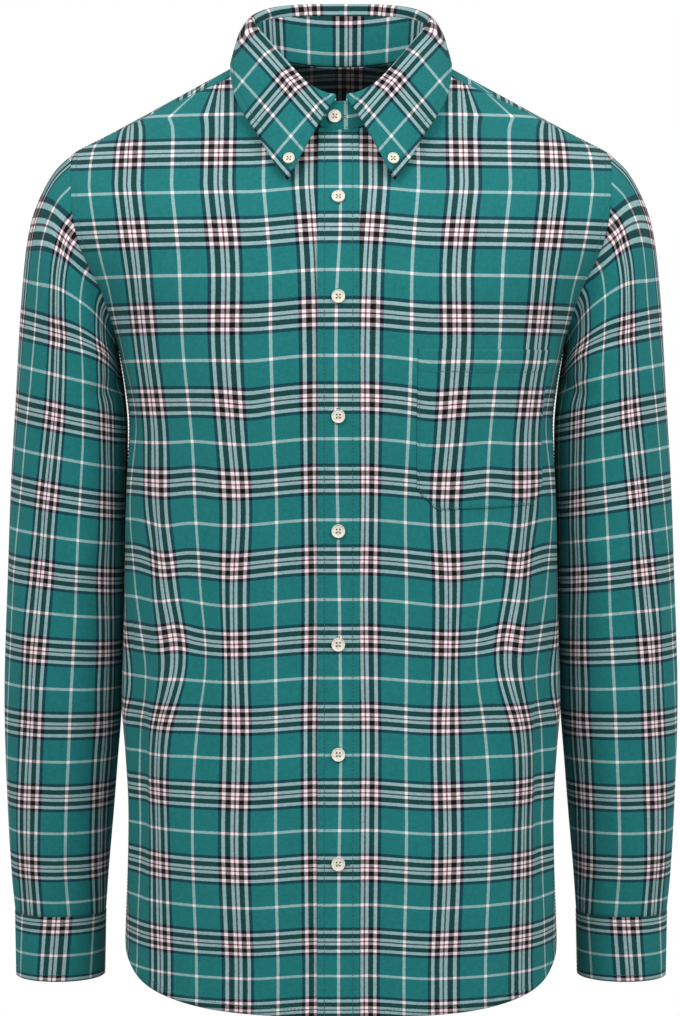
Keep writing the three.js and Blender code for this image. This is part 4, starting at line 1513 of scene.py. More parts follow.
    def back(self) -> Cloth:
        """The back, from the yoke's seam down.

        Returns:
            Both halves as one cloth.
        """
        form = self.form
        seam = form.back_seam - self.gap / 2
        top = self.back_seam(seam)
        columns = len(top)
        turns = np.linspace(-form.armhole_angle_at_z(form.back_seam), -math.pi, self.upper_rows + 1)
        right = form.armhole_row(turns)
        right[0] = top[-1]
        side = RIGHT_ANGLE + self.gap / 2 / 180
        right[-1] = [side, form.armhole_bottom]
        heights = np.linspace(seam, form.armhole_bottom, self.upper_rows + 1)
        left = np.stack([np.full(len(heights), math.pi), heights], axis=-1)
        first, last = (form.run_at(angle, form.armhole_bottom) for angle in (math.pi, side))
        bottom = form.level_row(form.armhole_bottom, first, last, columns)
        upper = blend_patch(top, bottom, left, right)
        levels = self.levels()
        starts, ends = form.run_at(math.pi, levels), form.run_at(side, levels)
        lower = self.lower_part(self.hem_back, starts, ends, np.linspace(0, 1, columns))
        place = np.concatenate([upper, lower])
        angle, z = place[..., 0], place[..., 1]
        left_half = form.point(angle, z)
        points = np.concatenate([left_half[:, :0:-1], form.point(-angle, z)], axis=1)
        middle = len(top) - 1
        points[:, middle, 0] = 0
        run = runs_along(points, 1)
        warp = (run - run[:, middle : middle + 1]) / self.form.repeat
        return Cloth(points, np.stack([warp, form.level_check(points)], axis=-1))

    def yoke(self) -> Cloth:
        """The yoke, from the front seams and the neck to the back seam.

        Returns:
            Both halves as one cloth.
        """
        form = self.form
        neck_x, neck_y = form.neck_plan(np.linspace(math.pi, form.yoke_angle, self.neck_steps + 1))
        seam_x, seam_y = form.yoke_seam(np.linspace(0, 1, self.shoulder_steps + 1)[1:])
        front_y = np.concatenate([neck_y, seam_y + self.gap])
        top = np.stack([np.concatenate([neck_x, seam_x]), front_y], axis=-1)
        seam = self.back_seam(form.back_seam + self.gap / 2)
        bottom = form.point(seam[:, 0], seam[:, 1], creased=False)[:, :2]
        rows = self.yoke_rows
        first = form.armhole_angle_at_y(form.yoke_armhole_y)
        right = form.armhole(np.linspace(first, -form.armhole_angle_at_z(form.back_seam), rows))[:, :2]
        right[0] = top[-1]
        right[-1] = bottom[-1]
        left = np.stack([np.zeros(rows), np.linspace(top[0, 1], bottom[0, 1], rows)], axis=-1)
        plan = blend_patch(top, bottom, left, right)
        x, y = plan[..., 0], plan[..., 1]
        half = np.stack([x, y, form.shoulder_height(x, y)], axis=-1)
        points = np.concatenate([half[:, :0:-1], half * np.array([-1, 1, 1])], axis=1)
        run = runs_along(points, 0)
        warp = (points[..., 0] - self.yoke_bundle) / self.yoke_repeat
        return Cloth(points, np.stack([warp, self.yoke_weft - (run[-1:] - run) / REPEAT], axis=-1))

    def build(self) -> dict[str, Cloth]:
        """Make the four panels and their hems.

        Returns:
            Each panel's cloth by the name of its CAD node.
        """
        flannel = self.finishes.flannel
        cloths = {
            "front_left": self.front(self.left_edge, True),
            "front_right": self.front(self.right_edge, False).mirrored(),
            "back": self.back(),
            "yoke": self.yoke(),
        }
        for node, cloth in cloths.items():
            half = self.cloth / 2
            outer = np.full(cloth.points.shape[:2], half)
            if node in self.sides:
                from_hem = cloth.distance(Edge.BOTTOM)
                risen = smoothstep(from_hem, self.hem_width - 1, self.hem_width)
                outer = outer + self.hem_height * (1 - risen)
                outer = outer - groove(from_hem - self.hem_width + 1, self.groove, self.groove_half)
                for edge in self.sides[node]:
                    risen = smoothstep(cloth.distance(edge), self.felled, self.felled + self.felled_edge)
                    outer = outer + self.felled_height * (1 - risen)
            piece = sew_piece(node, cloth, outer, half, flannel)
            # Paint shade on the inner face of each panel
            paint_inside_shade(piece, cloth.points.shape[0] * cloth.points.shape[1], self.inside)
        self.stitch(cloths)
        return cloths

    def stitch(self, cloths: dict[str, Cloth]) -> None:
        """Sew the felled seams, the yoke's edges and the hems.

        Args:
            cloths: The panels, by the name of their CAD node.
        """
        high = self.cloth / 2 + self.felled_height
        paths = []
        for node, edges in self.sides.items():
            cloth = cloths[node]
            paths.append(cloth.seam(Edge.BOTTOM, self.hem_width - 1, high - 0.2))
            paths += [cloth.seam(edge, self.felled, high) for edge in edges]
        neck = self.neck_steps / (self.neck_steps + self.shoulder_steps) / 2
        for edge, start, end in ((Edge.BOTTOM, 0, 1), (Edge.TOP, 0, 0.5 - neck), (Edge.TOP, 0.5 + neck, 1)):
            paths.append(cloths["yoke"].seam(edge, self.yoke_stitched, self.cloth / 2 + 0.1, start, end))
        dress(Stitching().along(paths, "panel_stitches"), self.finishes.thread, "flannel")


@dataclass
class Placket:
    """The strip that carries the buttonholes, on the wearer's left front. Millimetres."""

    form: BodyForm
    finishes: Finishes
    left: float = -18.5
    right: float = 14.5
    half: float = 0.8
    lift: float = 2.2
    top_gap: float = 1
    columns: int = 36
    rows: int = 380
    bottom: float = -792
    stitched: float = 5
    pucker: float = 9
    line_sways: tuple[tuple[float, float], ...] = (
        (60, -1), (150, -0.6), (209, -3.6), (306, -4), (399, -2.4), (491, -0.8), (580, -0.2),
        (668, -1.6), (780, -2),
    )
    phases: tuple[float, float] = (0.0, 2.1)
    groove: float = 0.32
    groove_half: float = 1.1
    groove_sway: float = 0.1
    swell: float = 0.16
    swell_half: float = 1.8

    def cloth(self) -> Cloth:
        """The strip's cloth.

        Returns:
            It, raised over the right front.
        """
        form = self.form
        neck_angle = math.asin(self.left / form.neck_width)
        x, y = form.neck_plan(np.array(neck_angle))
        top = float(form.shoulder_height(x, y)) - self.top_gap
        z = np.linspace(top, self.bottom, self.rows)[:, None]
        across = np.linspace(self.left, self.right, self.columns)[None, :]
        angle = form.angle_at(*np.broadcast_arrays(z, across))
        points = form.point(angle, np.broadcast_to(z, angle.shape), self.lift)
        heights, centres = (np.array(column, float) for column in zip(*self.line_sways))
        line = curve_value(heights, centres, np.clip(-z, heights[0], heights[-1]))
        warp = 0.5 + (np.broadcast_to(across, angle.shape) - line) / REPEAT
        return Cloth(points, np.stack([warp, form.level_check(points)], axis=-1))

    def build(self) -> Cloth:
        """Make the strip, puckered along its stitches.

        Returns:
            Its cloth.
        """
        cloth = self.cloth()
        outer = np.full(cloth.points.shape[:2], self.half)
        paths = []
        for edge, phase in zip((Edge.START, Edge.END), self.phases):
            along = cloth.points[..., 2] / self.pucker
            wave = np.sin(2 * math.pi * along + phase + 0.9 * np.sin(along * 1.7))
            pressed = groove(cloth.distance(edge) - self.stitched, 1, self.groove_half)
            swell = groove(cloth.distance(edge) - self.stitched / 2, 1, self.swell_half)
            outer = outer - pressed * (self.groove + self.groove_sway * wave) + self.swell * swell * wave
            paths.append(cloth.seam(edge, self.stitched, self.half - 0.1))
        sew_piece("placket", cloth, outer, self.half, self.finishes.flannel)
        dress(Stitching().along(paths, "placket_stitches"), self.finishes.thread, "flannel")
        return cloth


@dataclass
class Pocket:
    """Patch pocket on the wearer's left front, its check matched to the front's. Millimetres."""

    form: BodyForm
    finishes: Finishes
    inner: float = 62
    outer: float = 186
    top: float = -252
    bottom: float = -382
    corner: float = 16
    hem: float = 18
    lift: float = 1.15
    half: float = 0.5
    gape: float = 1.6
    rows: int = 66
    columns: int = 64
    shift: float = 0.012
    gape_down: float = 0.22
    hem_height: float = 0.4
    hem_edge: tuple[float, float] = (-1, 0.5)
    groove: float = 0.3
    groove_half: float = 1.1
    stitched: float = 1.5

    def cloth(self, front: Cloth) -> Cloth:
        """Take the pocket's cloth from the front's points.

        Args:
            front: The front that it is sewn to.

        Returns:
            Its cloth, a little off the front's.
        """
        heights = np.linspace(self.top, self.bottom, self.rows)
        levels, numbers = -front.points[:, 0, 2], np.arange(len(front.points))
        rows = np.interp(-heights, levels, numbers)
        middle = int(np.interp((self.top + self.bottom) / -2, levels, numbers))
        runs = front.points[middle, 0, 0] + runs_along(front.points, 1)[middle]
        narrow = self.corner * np.clip((self.bottom + self.corner - heights) / self.corner, 0, 1)
        across = np.linspace(0, 1, self.columns)[None, :]
        places = lerp(self.inner + narrow[:, None], self.outer - narrow[:, None], across)
        columns = np.interp(places, runs, np.arange(len(runs)))
        rows = np.broadcast_to(rows[:, None], columns.shape)
        down = ((self.top - heights) / (self.top - self.bottom))[:, None]
        gape = self.gape * np.sin(math.pi * across) ** 2 * (1 - smoothstep(down, 0, self.gape_down))
        out = (self.lift + gape)[..., None] * unit(bilinear(front.normals, rows, columns))
        check = bilinear(front.check, rows, columns) + np.array([self.shift, -self.shift])
        return Cloth(bilinear(front.points, rows, columns) + out, check)

    def build(self, front: Cloth) -> None:
        """Make the pocket and sew it on.

        Args:
            front: The front that it is sewn to.
        """
        cloth = self.cloth(front)
        from_hem = cloth.distance(Edge.TOP) - self.hem
        outer = self.half + self.hem_height * (1 - smoothstep(from_hem, *self.hem_edge))
        outer = outer - groove(from_hem, self.groove, self.groove_half)
        sew_piece("pocket", cloth, outer, self.half, self.finishes.flannel)
        sewn = (Edge.START, Edge.END, Edge.BOTTOM)
        paths = [cloth.seam(edge, self.stitched, self.half + 0.05) for edge in sewn]
        paths.append(cloth.seam(Edge.TOP, self.hem, self.half))
        dress(Stitching().along(paths, "pocket_stitches"), self.finishes.thread, "flannel")


# Sleeves

@dataclass(frozen=True)
class Ring:
    """A ring of the sleeve through an outer and an inner point, with its axis, front and back."""

    outer_x: float
    outer_z: float
    inner_x: float
    inner_z: float
    axis: float
    front: float
    back: float
    seat: float


SLEEVE_RINGS = (
    Ring(242, -98, 190.2, -253, 1, -57, 64, 0.8),
    Ring(253, -116, 188.4, -263, 2, -60, 67, 0.6),
    Ring(261.5, -137, 186, -276, 3, -61, 69, 0.4),
    Ring(266.5, -161, 183.8, -291, 4, -61, 70, 0.22),
    Ring(269.6, -189, 182, -311, 5, -60, 71, 0.1),
    Ring(272.5, -222, 182.2, -335, 7, -59, 72, 0),
    Ring(275.2, -260, 183.2, -363, 9, -57, 73, 0),
    Ring(277.8, -304, 184, -395, 11, -54, 74, 0),
    Ring(280.6, -354, 184.8, -432, 13, -51, 75, 0),
    Ring(283.3, -412, 185.8, -472, 15, -47, 76, 0),
    Ring(286, -478, 186.8, -514, 17, -43, 77, 0),
    Ring(287.4, -542, 188.2, -557, 19, -39, 77, 0),
    Ring(286.8, -602, 192.4, -604, 21, -34, 77, 0),
    Ring(284.8, -654, 196.4, -654, 23, -28, 75, 0),
    Ring(281.6, -700, 200, -700, 24, -22, 71, 0),
    Ring(278.8, -730, 202.2, -730, 25, -17, 67, 0),
)


# Creases of the left sleeve: angle from its outer line over the front, and height at its middle
SLEEVE_CREASES = (
    Fold(118, -222, 9, 26, 3.0, 0.9),
    Fold(136, -240, 8, 30, -3.2, 0.8),
    Fold(98, -236, 8, 26, -2.8, 1.0),
    Fold(75, -330, 15, 60, -1.0, 0.25),
    Fold(112, -410, 12, 45, 1.6, 0.5),
    Fold(92, -470, 11, 50, -1.7, -0.45),
    Fold(60, -505, 13, 60, 1.3, -0.3),
    Fold(124, -545, 11, 48, 1.5, -0.5),
    Fold(80, -610, 12, 50, -1.2, 0.3),
    Fold(48, -650, 10, 45, 1.0, 0.2),
    Fold(108, -690, 8, 30, -1.3, 0.1),
    Fold(-110, -232, 9, 30, -2.0, -0.8),
    Fold(-85, -226, 9, 30, 1.8, -0.9),
    Fold(-100, -420, 12, 50, 1.8, -0.5),
    Fold(-70, -470, 12, 55, -1.9, 0.5),
    Fold(-120, -520, 12, 50, -1.6, 0.5),
    Fold(-40, -560, 14, 60, 1.2, 0.2),
    Fold(-80, -640, 9, 60, 1.4, -0.1),
    Fold(-98, -680, 7, 45, -1.6, 0.05),
    Fold(-30, -300, 15, 70, -1.0, 0.2),
)


@dataclass
class Sleeves:
    """Both sleeves with their cuffs and plackets. Millimetres."""

    form: BodyForm
    finishes: Finishes
    rings: tuple[Ring, ...] = SLEEVE_RINGS
    rows: int = 190
    columns: int = 108
    cloth: float = 0.9
    levels: tuple[float, ...] = (-237, -306.6, -373.6, -439.3, -503.4, -566.2, -627.8, -688.5)
    creases: tuple[Fold, ...] = SLEEVE_CREASES
    cuff_height: float = 54
    cuff_half: float = 0.8
    cuff_taper: float = 1
    cuff_start: float = math.radians(300)
    cuff_lap: float = math.radians(26)
    cuff_lift: float = 2.2
    cuff_middle: float = math.radians(450)
    cuff_bundle: float = -735.1
    cuff_repeat: float = 55
    slit_top: float = -581
    slit_angles: tuple[float, float] = (-32, -62)
    bundle_angles: tuple[tuple[float, float], ...] = ((-166, 74), (-315, 75), (-567, 59), (-690, 50.6))
    repeat: float = 70
    last_repeat: float = 58
    seat_clear: float = 0.3
    seat_rows: int = 6
    tilt: float = 0.57
    levelled: float = 0.38
    levels_out: tuple[float, float] = (165, 245)
    creases_from: tuple[float, float] = (172, 205)
    creases_to: tuple[float, float] = (712, 730)
    groove: float = 0.3
    groove_half: float = 0.9
    cuff_rows: int = 30
    cuff_columns: int = 170
    cuff_rise: float = 0.72
    clear: float = 0.4
    strip_half: float = 0.5
    strip_lift: float = 1.7
    strip_middle: float = 13
    strip_rows: int = 70
    strip_columns: int = 16

    def ring_table(self) -> tuple[Ring, ...]:
        """Put the armhole's own seat before the other rings.

        Returns:
            All the rings.
        """
        shoulder, armpit = self.form.armhole(np.array([0, math.pi]))
        seat = Ring(
            shoulder[0], shoulder[2], armpit[0], armpit[2], 0, -self.form.armhole_front,
            self.form.armhole_back, 1,
        )
        return (seat,) + self.rings

    def sleeve(self) -> Cloth:
        """Make the wearer's left sleeve.

        Returns:
            Its cloth, a ring from its inner line over the front and round.
        """
        form = self.form
        table = self.ring_table()
        keys = np.arange(len(table), dtype=float)
        fine = np.linspace(0, len(table) - 1, 400)

        def read(column: str, at: Array) -> Array:
            """Read a column of the rings."""
            return curve_value(keys, np.array([float(getattr(ring, column)) for ring in table]), at)

        middle = np.stack([
            (read("outer_x", fine) + read("inner_x", fine)) / 2,
            (read("outer_z", fine) + read("inner_z", fine)) / 2,
        ], axis=-1)
        runs = np.concatenate([[0], np.cumsum(np.linalg.norm(np.diff(middle, axis=0), axis=1))])
        at = np.interp(np.linspace(0, runs[-1], self.rows), runs, fine)
        angles = np.linspace(math.pi, -math.pi, self.columns + 1)[:-1]
        armhole = form.armhole(angles)
        first = {name: np.array([float(getattr(table[0], name))]) for name in Ring.__annotations__}
        seat = self.flat(angles, first)
        columns = {name: read(name, at) for name in Ring.__annotations__}
        points = self.flat(angles, columns) + (armhole[None] - seat) * columns["seat"][:, None, None]
        points[..., 0] += self.seat_clear * (1 - smoothstep(np.arange(self.rows), 0, self.seat_rows))[:, None]
        centre = (columns["outer_z"] + columns["inner_z"]) / 2
        out = Cloth(points, np.zeros((1, 1, 2)), ring=True).normals
        points = points + out * self.crease_height(np.degrees(angles)[None, :], centre[:, None])[..., None]
        run = runs_along(points, 1)
        closing = np.linalg.norm(points[:, 0] - points[:, -1], axis=-1)[:, None]
        run = np.concatenate([run, run[:, -1:] + closing], axis=1)
        heights, turns = zip(*self.bundle_angles)
        bundle = np.radians(np.interp(-centre, -np.array(heights), turns))
        wide = np.linspace(math.pi, -math.pi, self.columns + 1)
        start = np.array([np.interp(-bundle[i], -wide, run[i]) for i in range(self.rows)])
        warp = (run - start[:, None]) / self.repeat
        z = np.concatenate([points[..., 2], points[:, :1, 2]], axis=1)
        tilt = self.tilt - self.levelled * smoothstep(-centre, *self.levels_out)
        level = tilt[:, None] * centre[:, None] + (1 - tilt[:, None]) * z
        lines = np.array(self.levels)
        weft = np.interp(-level, -lines, np.arange(len(lines)))
        weft = np.where(level > lines[0], (lines[0] - level) / self.repeat, weft)
        weft = np.where(level < lines[-1], len(lines) - 1 + (lines[-1] - level) / self.last_repeat, weft)
        return Cloth(points, np.stack([warp, weft], axis=-1), ring=True)

    def crease_height(self, degrees: Array, z: Array) -> Array:
        """Height of the sleeve's creases, nothing at the armhole and the cuff.

        Args:
            degrees: Angles from the sleeve's outer line over the front.
            z: Heights.

        Returns:
            The height of the cloth off its smooth form.
        """
        height = SLEEVE_RIPPLE.height(np.radians(degrees), z)
        for fold in self.creases:
            across = (degrees - fold.angle - fold.slant * (z - fold.z) + 180) % 360 - 180
            along = (z - fold.z) / fold.half_height
            height = height + fold.rise * np.exp(-((across / fold.half_angle) ** 2) - along**2)
        return height * smoothstep(-z, *self.creases_from) * (1 - smoothstep(-z, *self.creases_to))

    @staticmethod
    def flat(angles: Array, ring: dict[str, Array]) -> Array:
        """Points of rings, an oval each.

        Args:
            angles: Angles round a ring, 0 at its outer point.
            ring: The rings' columns by name.

        Returns:
            Rings by angles by three.
        """
        share = (1 + np.cos(angles))[None] / 2
        inner = np.stack([ring["inner_x"], np.zeros_like(ring["inner_x"]), ring["inner_z"]], axis=-1)
        outer = np.stack([ring["outer_x"], np.zeros_like(ring["outer_x"]), ring["outer_z"]], axis=-1)
        points = lerp(inner[:, None], outer[:, None], share[..., None])
        front, back, axis = (ring[name][:, None] for name in ("front", "back", "axis"))
        reach = np.where(np.sin(angles)[None] > 0, front, back) - axis
        points[..., 1] = axis + reach * np.abs(np.sin(angles))[None]
        return points

    def build(self) -> dict[str, Cloth]:
        """Make both sleeves with their cuffs and plackets.

        Returns:
            Each cloth by the name of its CAD node.
        """
        left = self.sleeve()
        flannel = self.finishes.flannel
        cloths = {}
        for side in Side:
            name = side.name.lower()
            for node, cloth, half in (
                (f"sleeve_{name}", left, self.cloth / 2),
                (f"cuff_{name}", self.cuff(), self.cuff_half),
                (f"sleeve_placket_{name}", self.slit_strip(left), self.strip_half),
            ):
                cloth = cloth if side is Side.LEFT else cloth.mirrored()
                cloths[node] = cloth
                outer = np.full(cloth.points.shape[:2], half)
                if not cloth.ring:
                    near = np.min([cloth.distance(edge) for edge in Edge], axis=0)
                    outer = outer - groove(near - self.inset(node), self.groove, self.groove_half)
                sew_piece(node, cloth, outer, half, flannel)
            cuff, strip = cloths[f"cuff_{name}"], cloths[f"sleeve_placket_{name}"]
            paths = [cuff.seam(edge, self.inset("cuff"), self.cuff_half - 0.1) for edge in Edge]
            paths += [strip.seam(edge, self.inset("strip"), self.strip_half - 0.05) for edge in Edge]
            dress(Stitching().along(paths, f"cuff_{name}_stitches"), self.finishes.thread, "flannel")
        return cloths

    @staticmethod
    def inset(node: str) -> float:
        """Distance of the stitches from a cuff's or a strip's edge."""
        return 5.0 if node.startswith("cuff") else 1.6

    def cuff(self) -> Cloth:
        """Make the left cuff, a strip round the wrist.

        Returns:
            Its cloth, the outer end lapped over the inner one.
        """
        ring = self.rings[-1]
        full = 2 * math.pi + self.cuff_lap
        down = np.linspace(0, 1, self.cuff_rows)[:, None]
        t = np.linspace(1, 0, self.cuff_columns)[None, :]
        angle = self.cuff_start + full * t
        lift = self.cuff_lift * smoothstep(t, self.cuff_rise, 2 * math.pi / full)
        half_width = (ring.outer_x - ring.inner_x) / 2 - self.cuff_taper * down + lift
        half_depth = (ring.back - ring.front) / 2 - self.cuff_taper * down + lift
        x = (ring.outer_x + ring.inner_x) / 2 + half_width * np.cos(angle)
        y = (ring.front + ring.back) / 2 - half_depth * np.sin(angle)
        z = np.broadcast_to(ring.outer_z - self.clear - self.cuff_height * down, x.shape)
        points = np.stack([x, y, z], axis=-1)
        run = runs_along(points, 1)
        middle = np.interp(-self.cuff_middle, -angle[0], run[0])
        weft = (self.cuff_bundle - z) / self.cuff_repeat
        return Cloth(points, np.stack([(run - middle) / self.repeat, weft], axis=-1))

    def slit_strip(self, sleeve: Cloth) -> Cloth:
        """Make the placket of the sleeve's opening, at the back of the wrist.

        Args:
            sleeve: The left sleeve.

        Returns:
            The strip's cloth, a little off the sleeve's.
        """
        columns = (180 - np.linspace(*self.slit_angles, self.strip_columns)) / 360 * self.columns
        middle = int(columns.mean())
        heights = np.linspace(self.slit_top, self.rings[-1].outer_z + self.clear, self.strip_rows)
        rows = np.interp(-heights, -sleeve.points[:, middle, 2], np.arange(self.rows))
        rows, columns = np.meshgrid(rows, columns, indexing="ij")
        out = unit(bilinear(sleeve.normals, rows, columns))
        points = bilinear(sleeve.points, rows, columns) + self.strip_lift * out
        run = runs_along(points, 1)
        weft = bilinear(sleeve.check, rows, columns)[..., 1]
        return Cloth(points, np.stack([0.5 + (run - self.strip_middle) / REPEAT, weft], axis=-1))


# Collar

@dataclass(frozen=True)
class CollarRow:
    """The collar at an angle in degrees from the centre front.

    stand and lean are the stand's height and how far it leans out, fold the leaf's rise over it,
    edge the leaf's outer edge, belly how far the leaf bows out, and drop how far the centre of the
    check's level bundle lies below the leaf's fold.
    """

    angle: float
    stand: float
    lean: float
    fold: float
    edge_x: float
    edge_y: float
    edge_z: float
    belly: float
    drop: float


COLLAR = (
    CollarRow(4, 25, -4, 3.4, 44, -95, -112, 4, 12.5),
    CollarRow(14, 25, -4, 3.6, 56, -85, -95, 5, 7.7),
    CollarRow(26, 25, -3, 4, 68, -73, -74, 4.5, 3.6),
    CollarRow(40, 25, -2, 4.4, 79, -60, -57, 4, 1),
    CollarRow(56, 23, 0, 4.8, 89, -42, -37, 3.5, 0),
    CollarRow(73, 22, 2, 5, 93, -17, -10, 3, -1),
    CollarRow(90, 23, 3, 5.4, 90, 10, -5, 3, -1.5),
    CollarRow(108, 29, 3, 6, 83, 34, -8, 3, -1),
    CollarRow(127, 36, 3, 7, 67, 52, -12, 3, -0.8),
    CollarRow(146, 41, 3, 8, 45, 63, -16, 3, -0.4),
    CollarRow(163, 44, 3, 8.4, 22, 68, -18, 3, 0),
    CollarRow(180, 45, 3, 8.6, 0, 70, -19, 3, 0),
)


@dataclass
class Collar:
    """The stand round the neck and the leaf that folds down over it to two points. Millimetres."""

    form: BodyForm
    finishes: Finishes
    rows: tuple[CollarRow, ...] = COLLAR
    seat: float = 1.7
    left_end: float = -17
    right_end: float = 13
    lap_lift: float = 2.3
    lap_from: float = 25
    lap_to: float = 80
    half: float = 0.8
    corner: float = 8
    seam: float = 0.8
    fold_radius: float = 3
    fold_path: tuple[tuple[float, float], ...] = ((0.25, 0.1), (1, 0.7), (1.85, -0.3))
    falls: tuple[float, ...] = (0.12, 0.3, 0.5, 0.7, 0.86, 1)
    rest_lift: float = 2.5
    repeat: float = 68
    stitched: float = 6
    stand_stitched: float = 1.6
    pressed: float = 0.3
    pressed_half: float = 1.0
    pucker: float = 0.12
    pucker_half: float = 2
    pucker_pitch: float = 1.5
    rounded: float = 0.34
    stand_bundle: float = 6.4
    stand_repeat: float = 70
    front_repeat: float = 76
    stand_weft: float = 11
    stand_level: float = 76.5
    laid_to: tuple[float, float] = (62, 92)
    laid_over: tuple[float, float] = (-2, 6)
    fold_bundles: tuple[tuple[float, float], ...] = ((58, 2.0), (30.6, 2.5), (6, 3.0))
    grain_from: float = 10
    grain_place: tuple[float, float] = (61.6, -51.1)
    grain_warp: tuple[float, float] = (-40.5, -48.8)
    grain_weft: tuple[float, float] = (38.9, -47.1)

    def read(self, column: str, side: Array) -> Array:
        """Read a column of the table at angles in degrees."""
        keys = np.array([row.angle for row in self.rows], dtype=float)
        return curve_value(keys, np.array([float(getattr(row, column)) for row in self.rows]), side)

    def outward(self, side: Array) -> tuple[Array, Array, Array]:
        """Find the neck's edge in plan.

        Args:
            side: Angles from the centre front, in degrees.

        Returns:
            Distances to the wearer's left and back, and the direction out.
        """
        x, y = self.form.neck_plan(np.radians(side))
        depth = np.where(y < 0, self.form.neck_front, self.form.neck_back)
        return x, y, unit(np.stack([x / self.form.neck_width**2, y / depth**2], axis=-1))

    def stand_point(self, angle: Array, up: Array, lift: Array) -> Array:
        """Points of the stand's cloth.

        Args:
            angle: Angles round the neck, in degrees.
            up: Shares of the stand's height.
            lift: Distances out.

        Returns:
            The points.
        """
        side, up, lift = np.broadcast_arrays(np.abs(angle), up, lift)
        x, y, out = self.outward(side)
        lean = self.read("lean", side) * up + lift
        height = lerp(self.seat, self.read("stand", side), up)
        sign = np.where(angle < 0, -1, 1)
        ground = self.form.shoulder_height(x, y)
        return np.stack([sign * (x + out[..., 0] * lean), y + out[..., 1] * lean, ground + height], axis=-1)

    def lap(self, angle: Array) -> Array:
        """How far the wearer's left side stands out to lie over the right end."""
        return self.lap_lift * (1 - smoothstep(angle, self.lap_from, self.lap_to))

    def stand(self) -> Cloth:
        """Make the stand, from its left end at the front round the back to its right end.

        Returns:
            Its cloth.
        """
        width = self.form.neck_width
        first = math.degrees(math.asin(self.left_end / width))
        last = 360 + math.degrees(math.asin(self.right_end / width))
        turn = np.linspace(first, last, 300)[None, :]
        left = turn < 180
        angle = np.where(left, turn, turn - 360)
        lift = np.where(left, self.lap(angle), 0)
        base = runs_along(self.stand_point(angle, 0.5, lift), 1)
        rounding = 1 - np.sqrt(1 - np.clip(1 - base / self.corner, 0, 1) ** 2)
        up = np.linspace(1, 0, 20)[:, None] * (1 - self.rounded * rounding)
        points = self.stand_point(angle, up, lift)
        back = np.interp(180, turn[0], base[0])
        around = back - base
        front = back - np.interp(3, turn[0], base[0])
        first, repeat = self.stand_bundle, self.stand_repeat
        keys = np.array([-300, first, first + repeat, front, front + self.front_repeat])
        warp = np.interp(around, keys, np.array([(-300 - first) / repeat, 0, 1, 2.5, 3.5]))
        warp = np.broadcast_to(warp, up.shape[:1] + warp.shape[1:])
        height = self.read("stand", np.abs(angle)) * up
        return Cloth(points, np.stack([warp, 0.5 - (height - self.stand_weft) / self.stand_level], axis=-1))

    def leaf(self) -> Cloth:
        """Make the leaf, up from the stand, over its fold and down to its edge, from point to point.

        Returns:
            Its cloth.
        """
        turn = np.linspace(self.rows[0].angle, 360 - self.rows[0].angle, 330)
        angle = np.where(turn <= 180, turn, turn - 360)
        side = np.abs(angle)
        sign = np.where(angle < 0, -1, 1)
        top = self.stand_point(angle, np.ones(1), np.where(angle > 0, self.lap(angle), 0))
        out = self.outward(side)[2]
        out = np.stack([sign * out[:, 0], out[:, 1], np.zeros(len(side))], axis=-1)
        lift = np.array([0, 0, 1])
        line = [top + lift * self.seam]
        for across, rise in self.fold_path:
            height = self.read("fold", side) + self.fold_radius * rise
            line.append(top + out * self.fold_radius * across + lift * height[:, None])
        edge_x, edge_y, edge_z = (self.read(column, side) for column in ("edge_x", "edge_y", "edge_z"))
        edge = np.stack([sign * edge_x, edge_y, edge_z], axis=-1)
        start = line[-1]
        for fall in self.falls:
            belly = (self.read("belly", side) * math.sin(math.pi * fall**0.8))[:, None]
            hung = lerp(start, edge, fall) + belly * (0.8 * out + 0.6 * lift)
            line.append(self.form.rested(hung, self.rest_lift))
        knots = np.array(line)
        steps = np.linalg.norm(np.diff(knots, axis=0), axis=-1).mean(axis=1)
        places = np.concatenate([[0], np.cumsum(steps)])
        fine = np.concatenate([np.linspace(0, places[4], 20)[:-1], np.linspace(places[4], places[-1], 44)])
        points = np.zeros((len(fine), len(turn), 3))
        for column in range(len(turn)):
            for axis in range(3):
                points[:, column, axis] = curve_value(places, knots[:, column, axis], fine)
        return Cloth(points, self.leaf_check(points, angle, int(np.argmin(np.abs(fine - places[2])))))

    def leaf_check(self, points: Array, angle: Array, crest: int) -> Array:
        """Args:
            points: The leaf's points.
            angle: Angle round the neck of each column, in degrees.
            crest: The row at the top of the fold.

        Returns:
            The check's two coordinates at each point.
        """
        run = runs_along(points, 1)[crest]
        around = run[len(run) // 2] - run
        left = slice(None, len(run) // 2)
        reach = [np.interp(place, angle[left], around[left]) for place, _ in self.fold_bundles]
        counts = [count for _, count in self.fold_bundles]
        keys = [-reach[2] - 40, *(-np.array(reach[::-1])), -29.4, 4.9, 38.5, *reach, reach[2] + 40]
        values = [-counts[2] - 0.55, *(-np.array(counts[::-1])), -0.5, 0, 0.5, *counts, counts[2] + 0.55]
        count = 0.5 + curve_value(np.array(keys), np.array(values), around)
        drop = self.read("drop", np.abs(angle))
        tangent = -unit(np.gradient(points[crest], axis=0))
        steps = np.diff(points, axis=0)
        along = np.sum(steps * tangent, axis=-1)
        across = np.linalg.norm(steps - along[..., None] * tangent, axis=-1)
        start = np.zeros((1, len(run)))
        along = np.concatenate([start, np.cumsum(along, axis=0)])
        across = np.concatenate([start, np.cumsum(across, axis=0)])
        along, across = along - along[crest], across - across[crest]

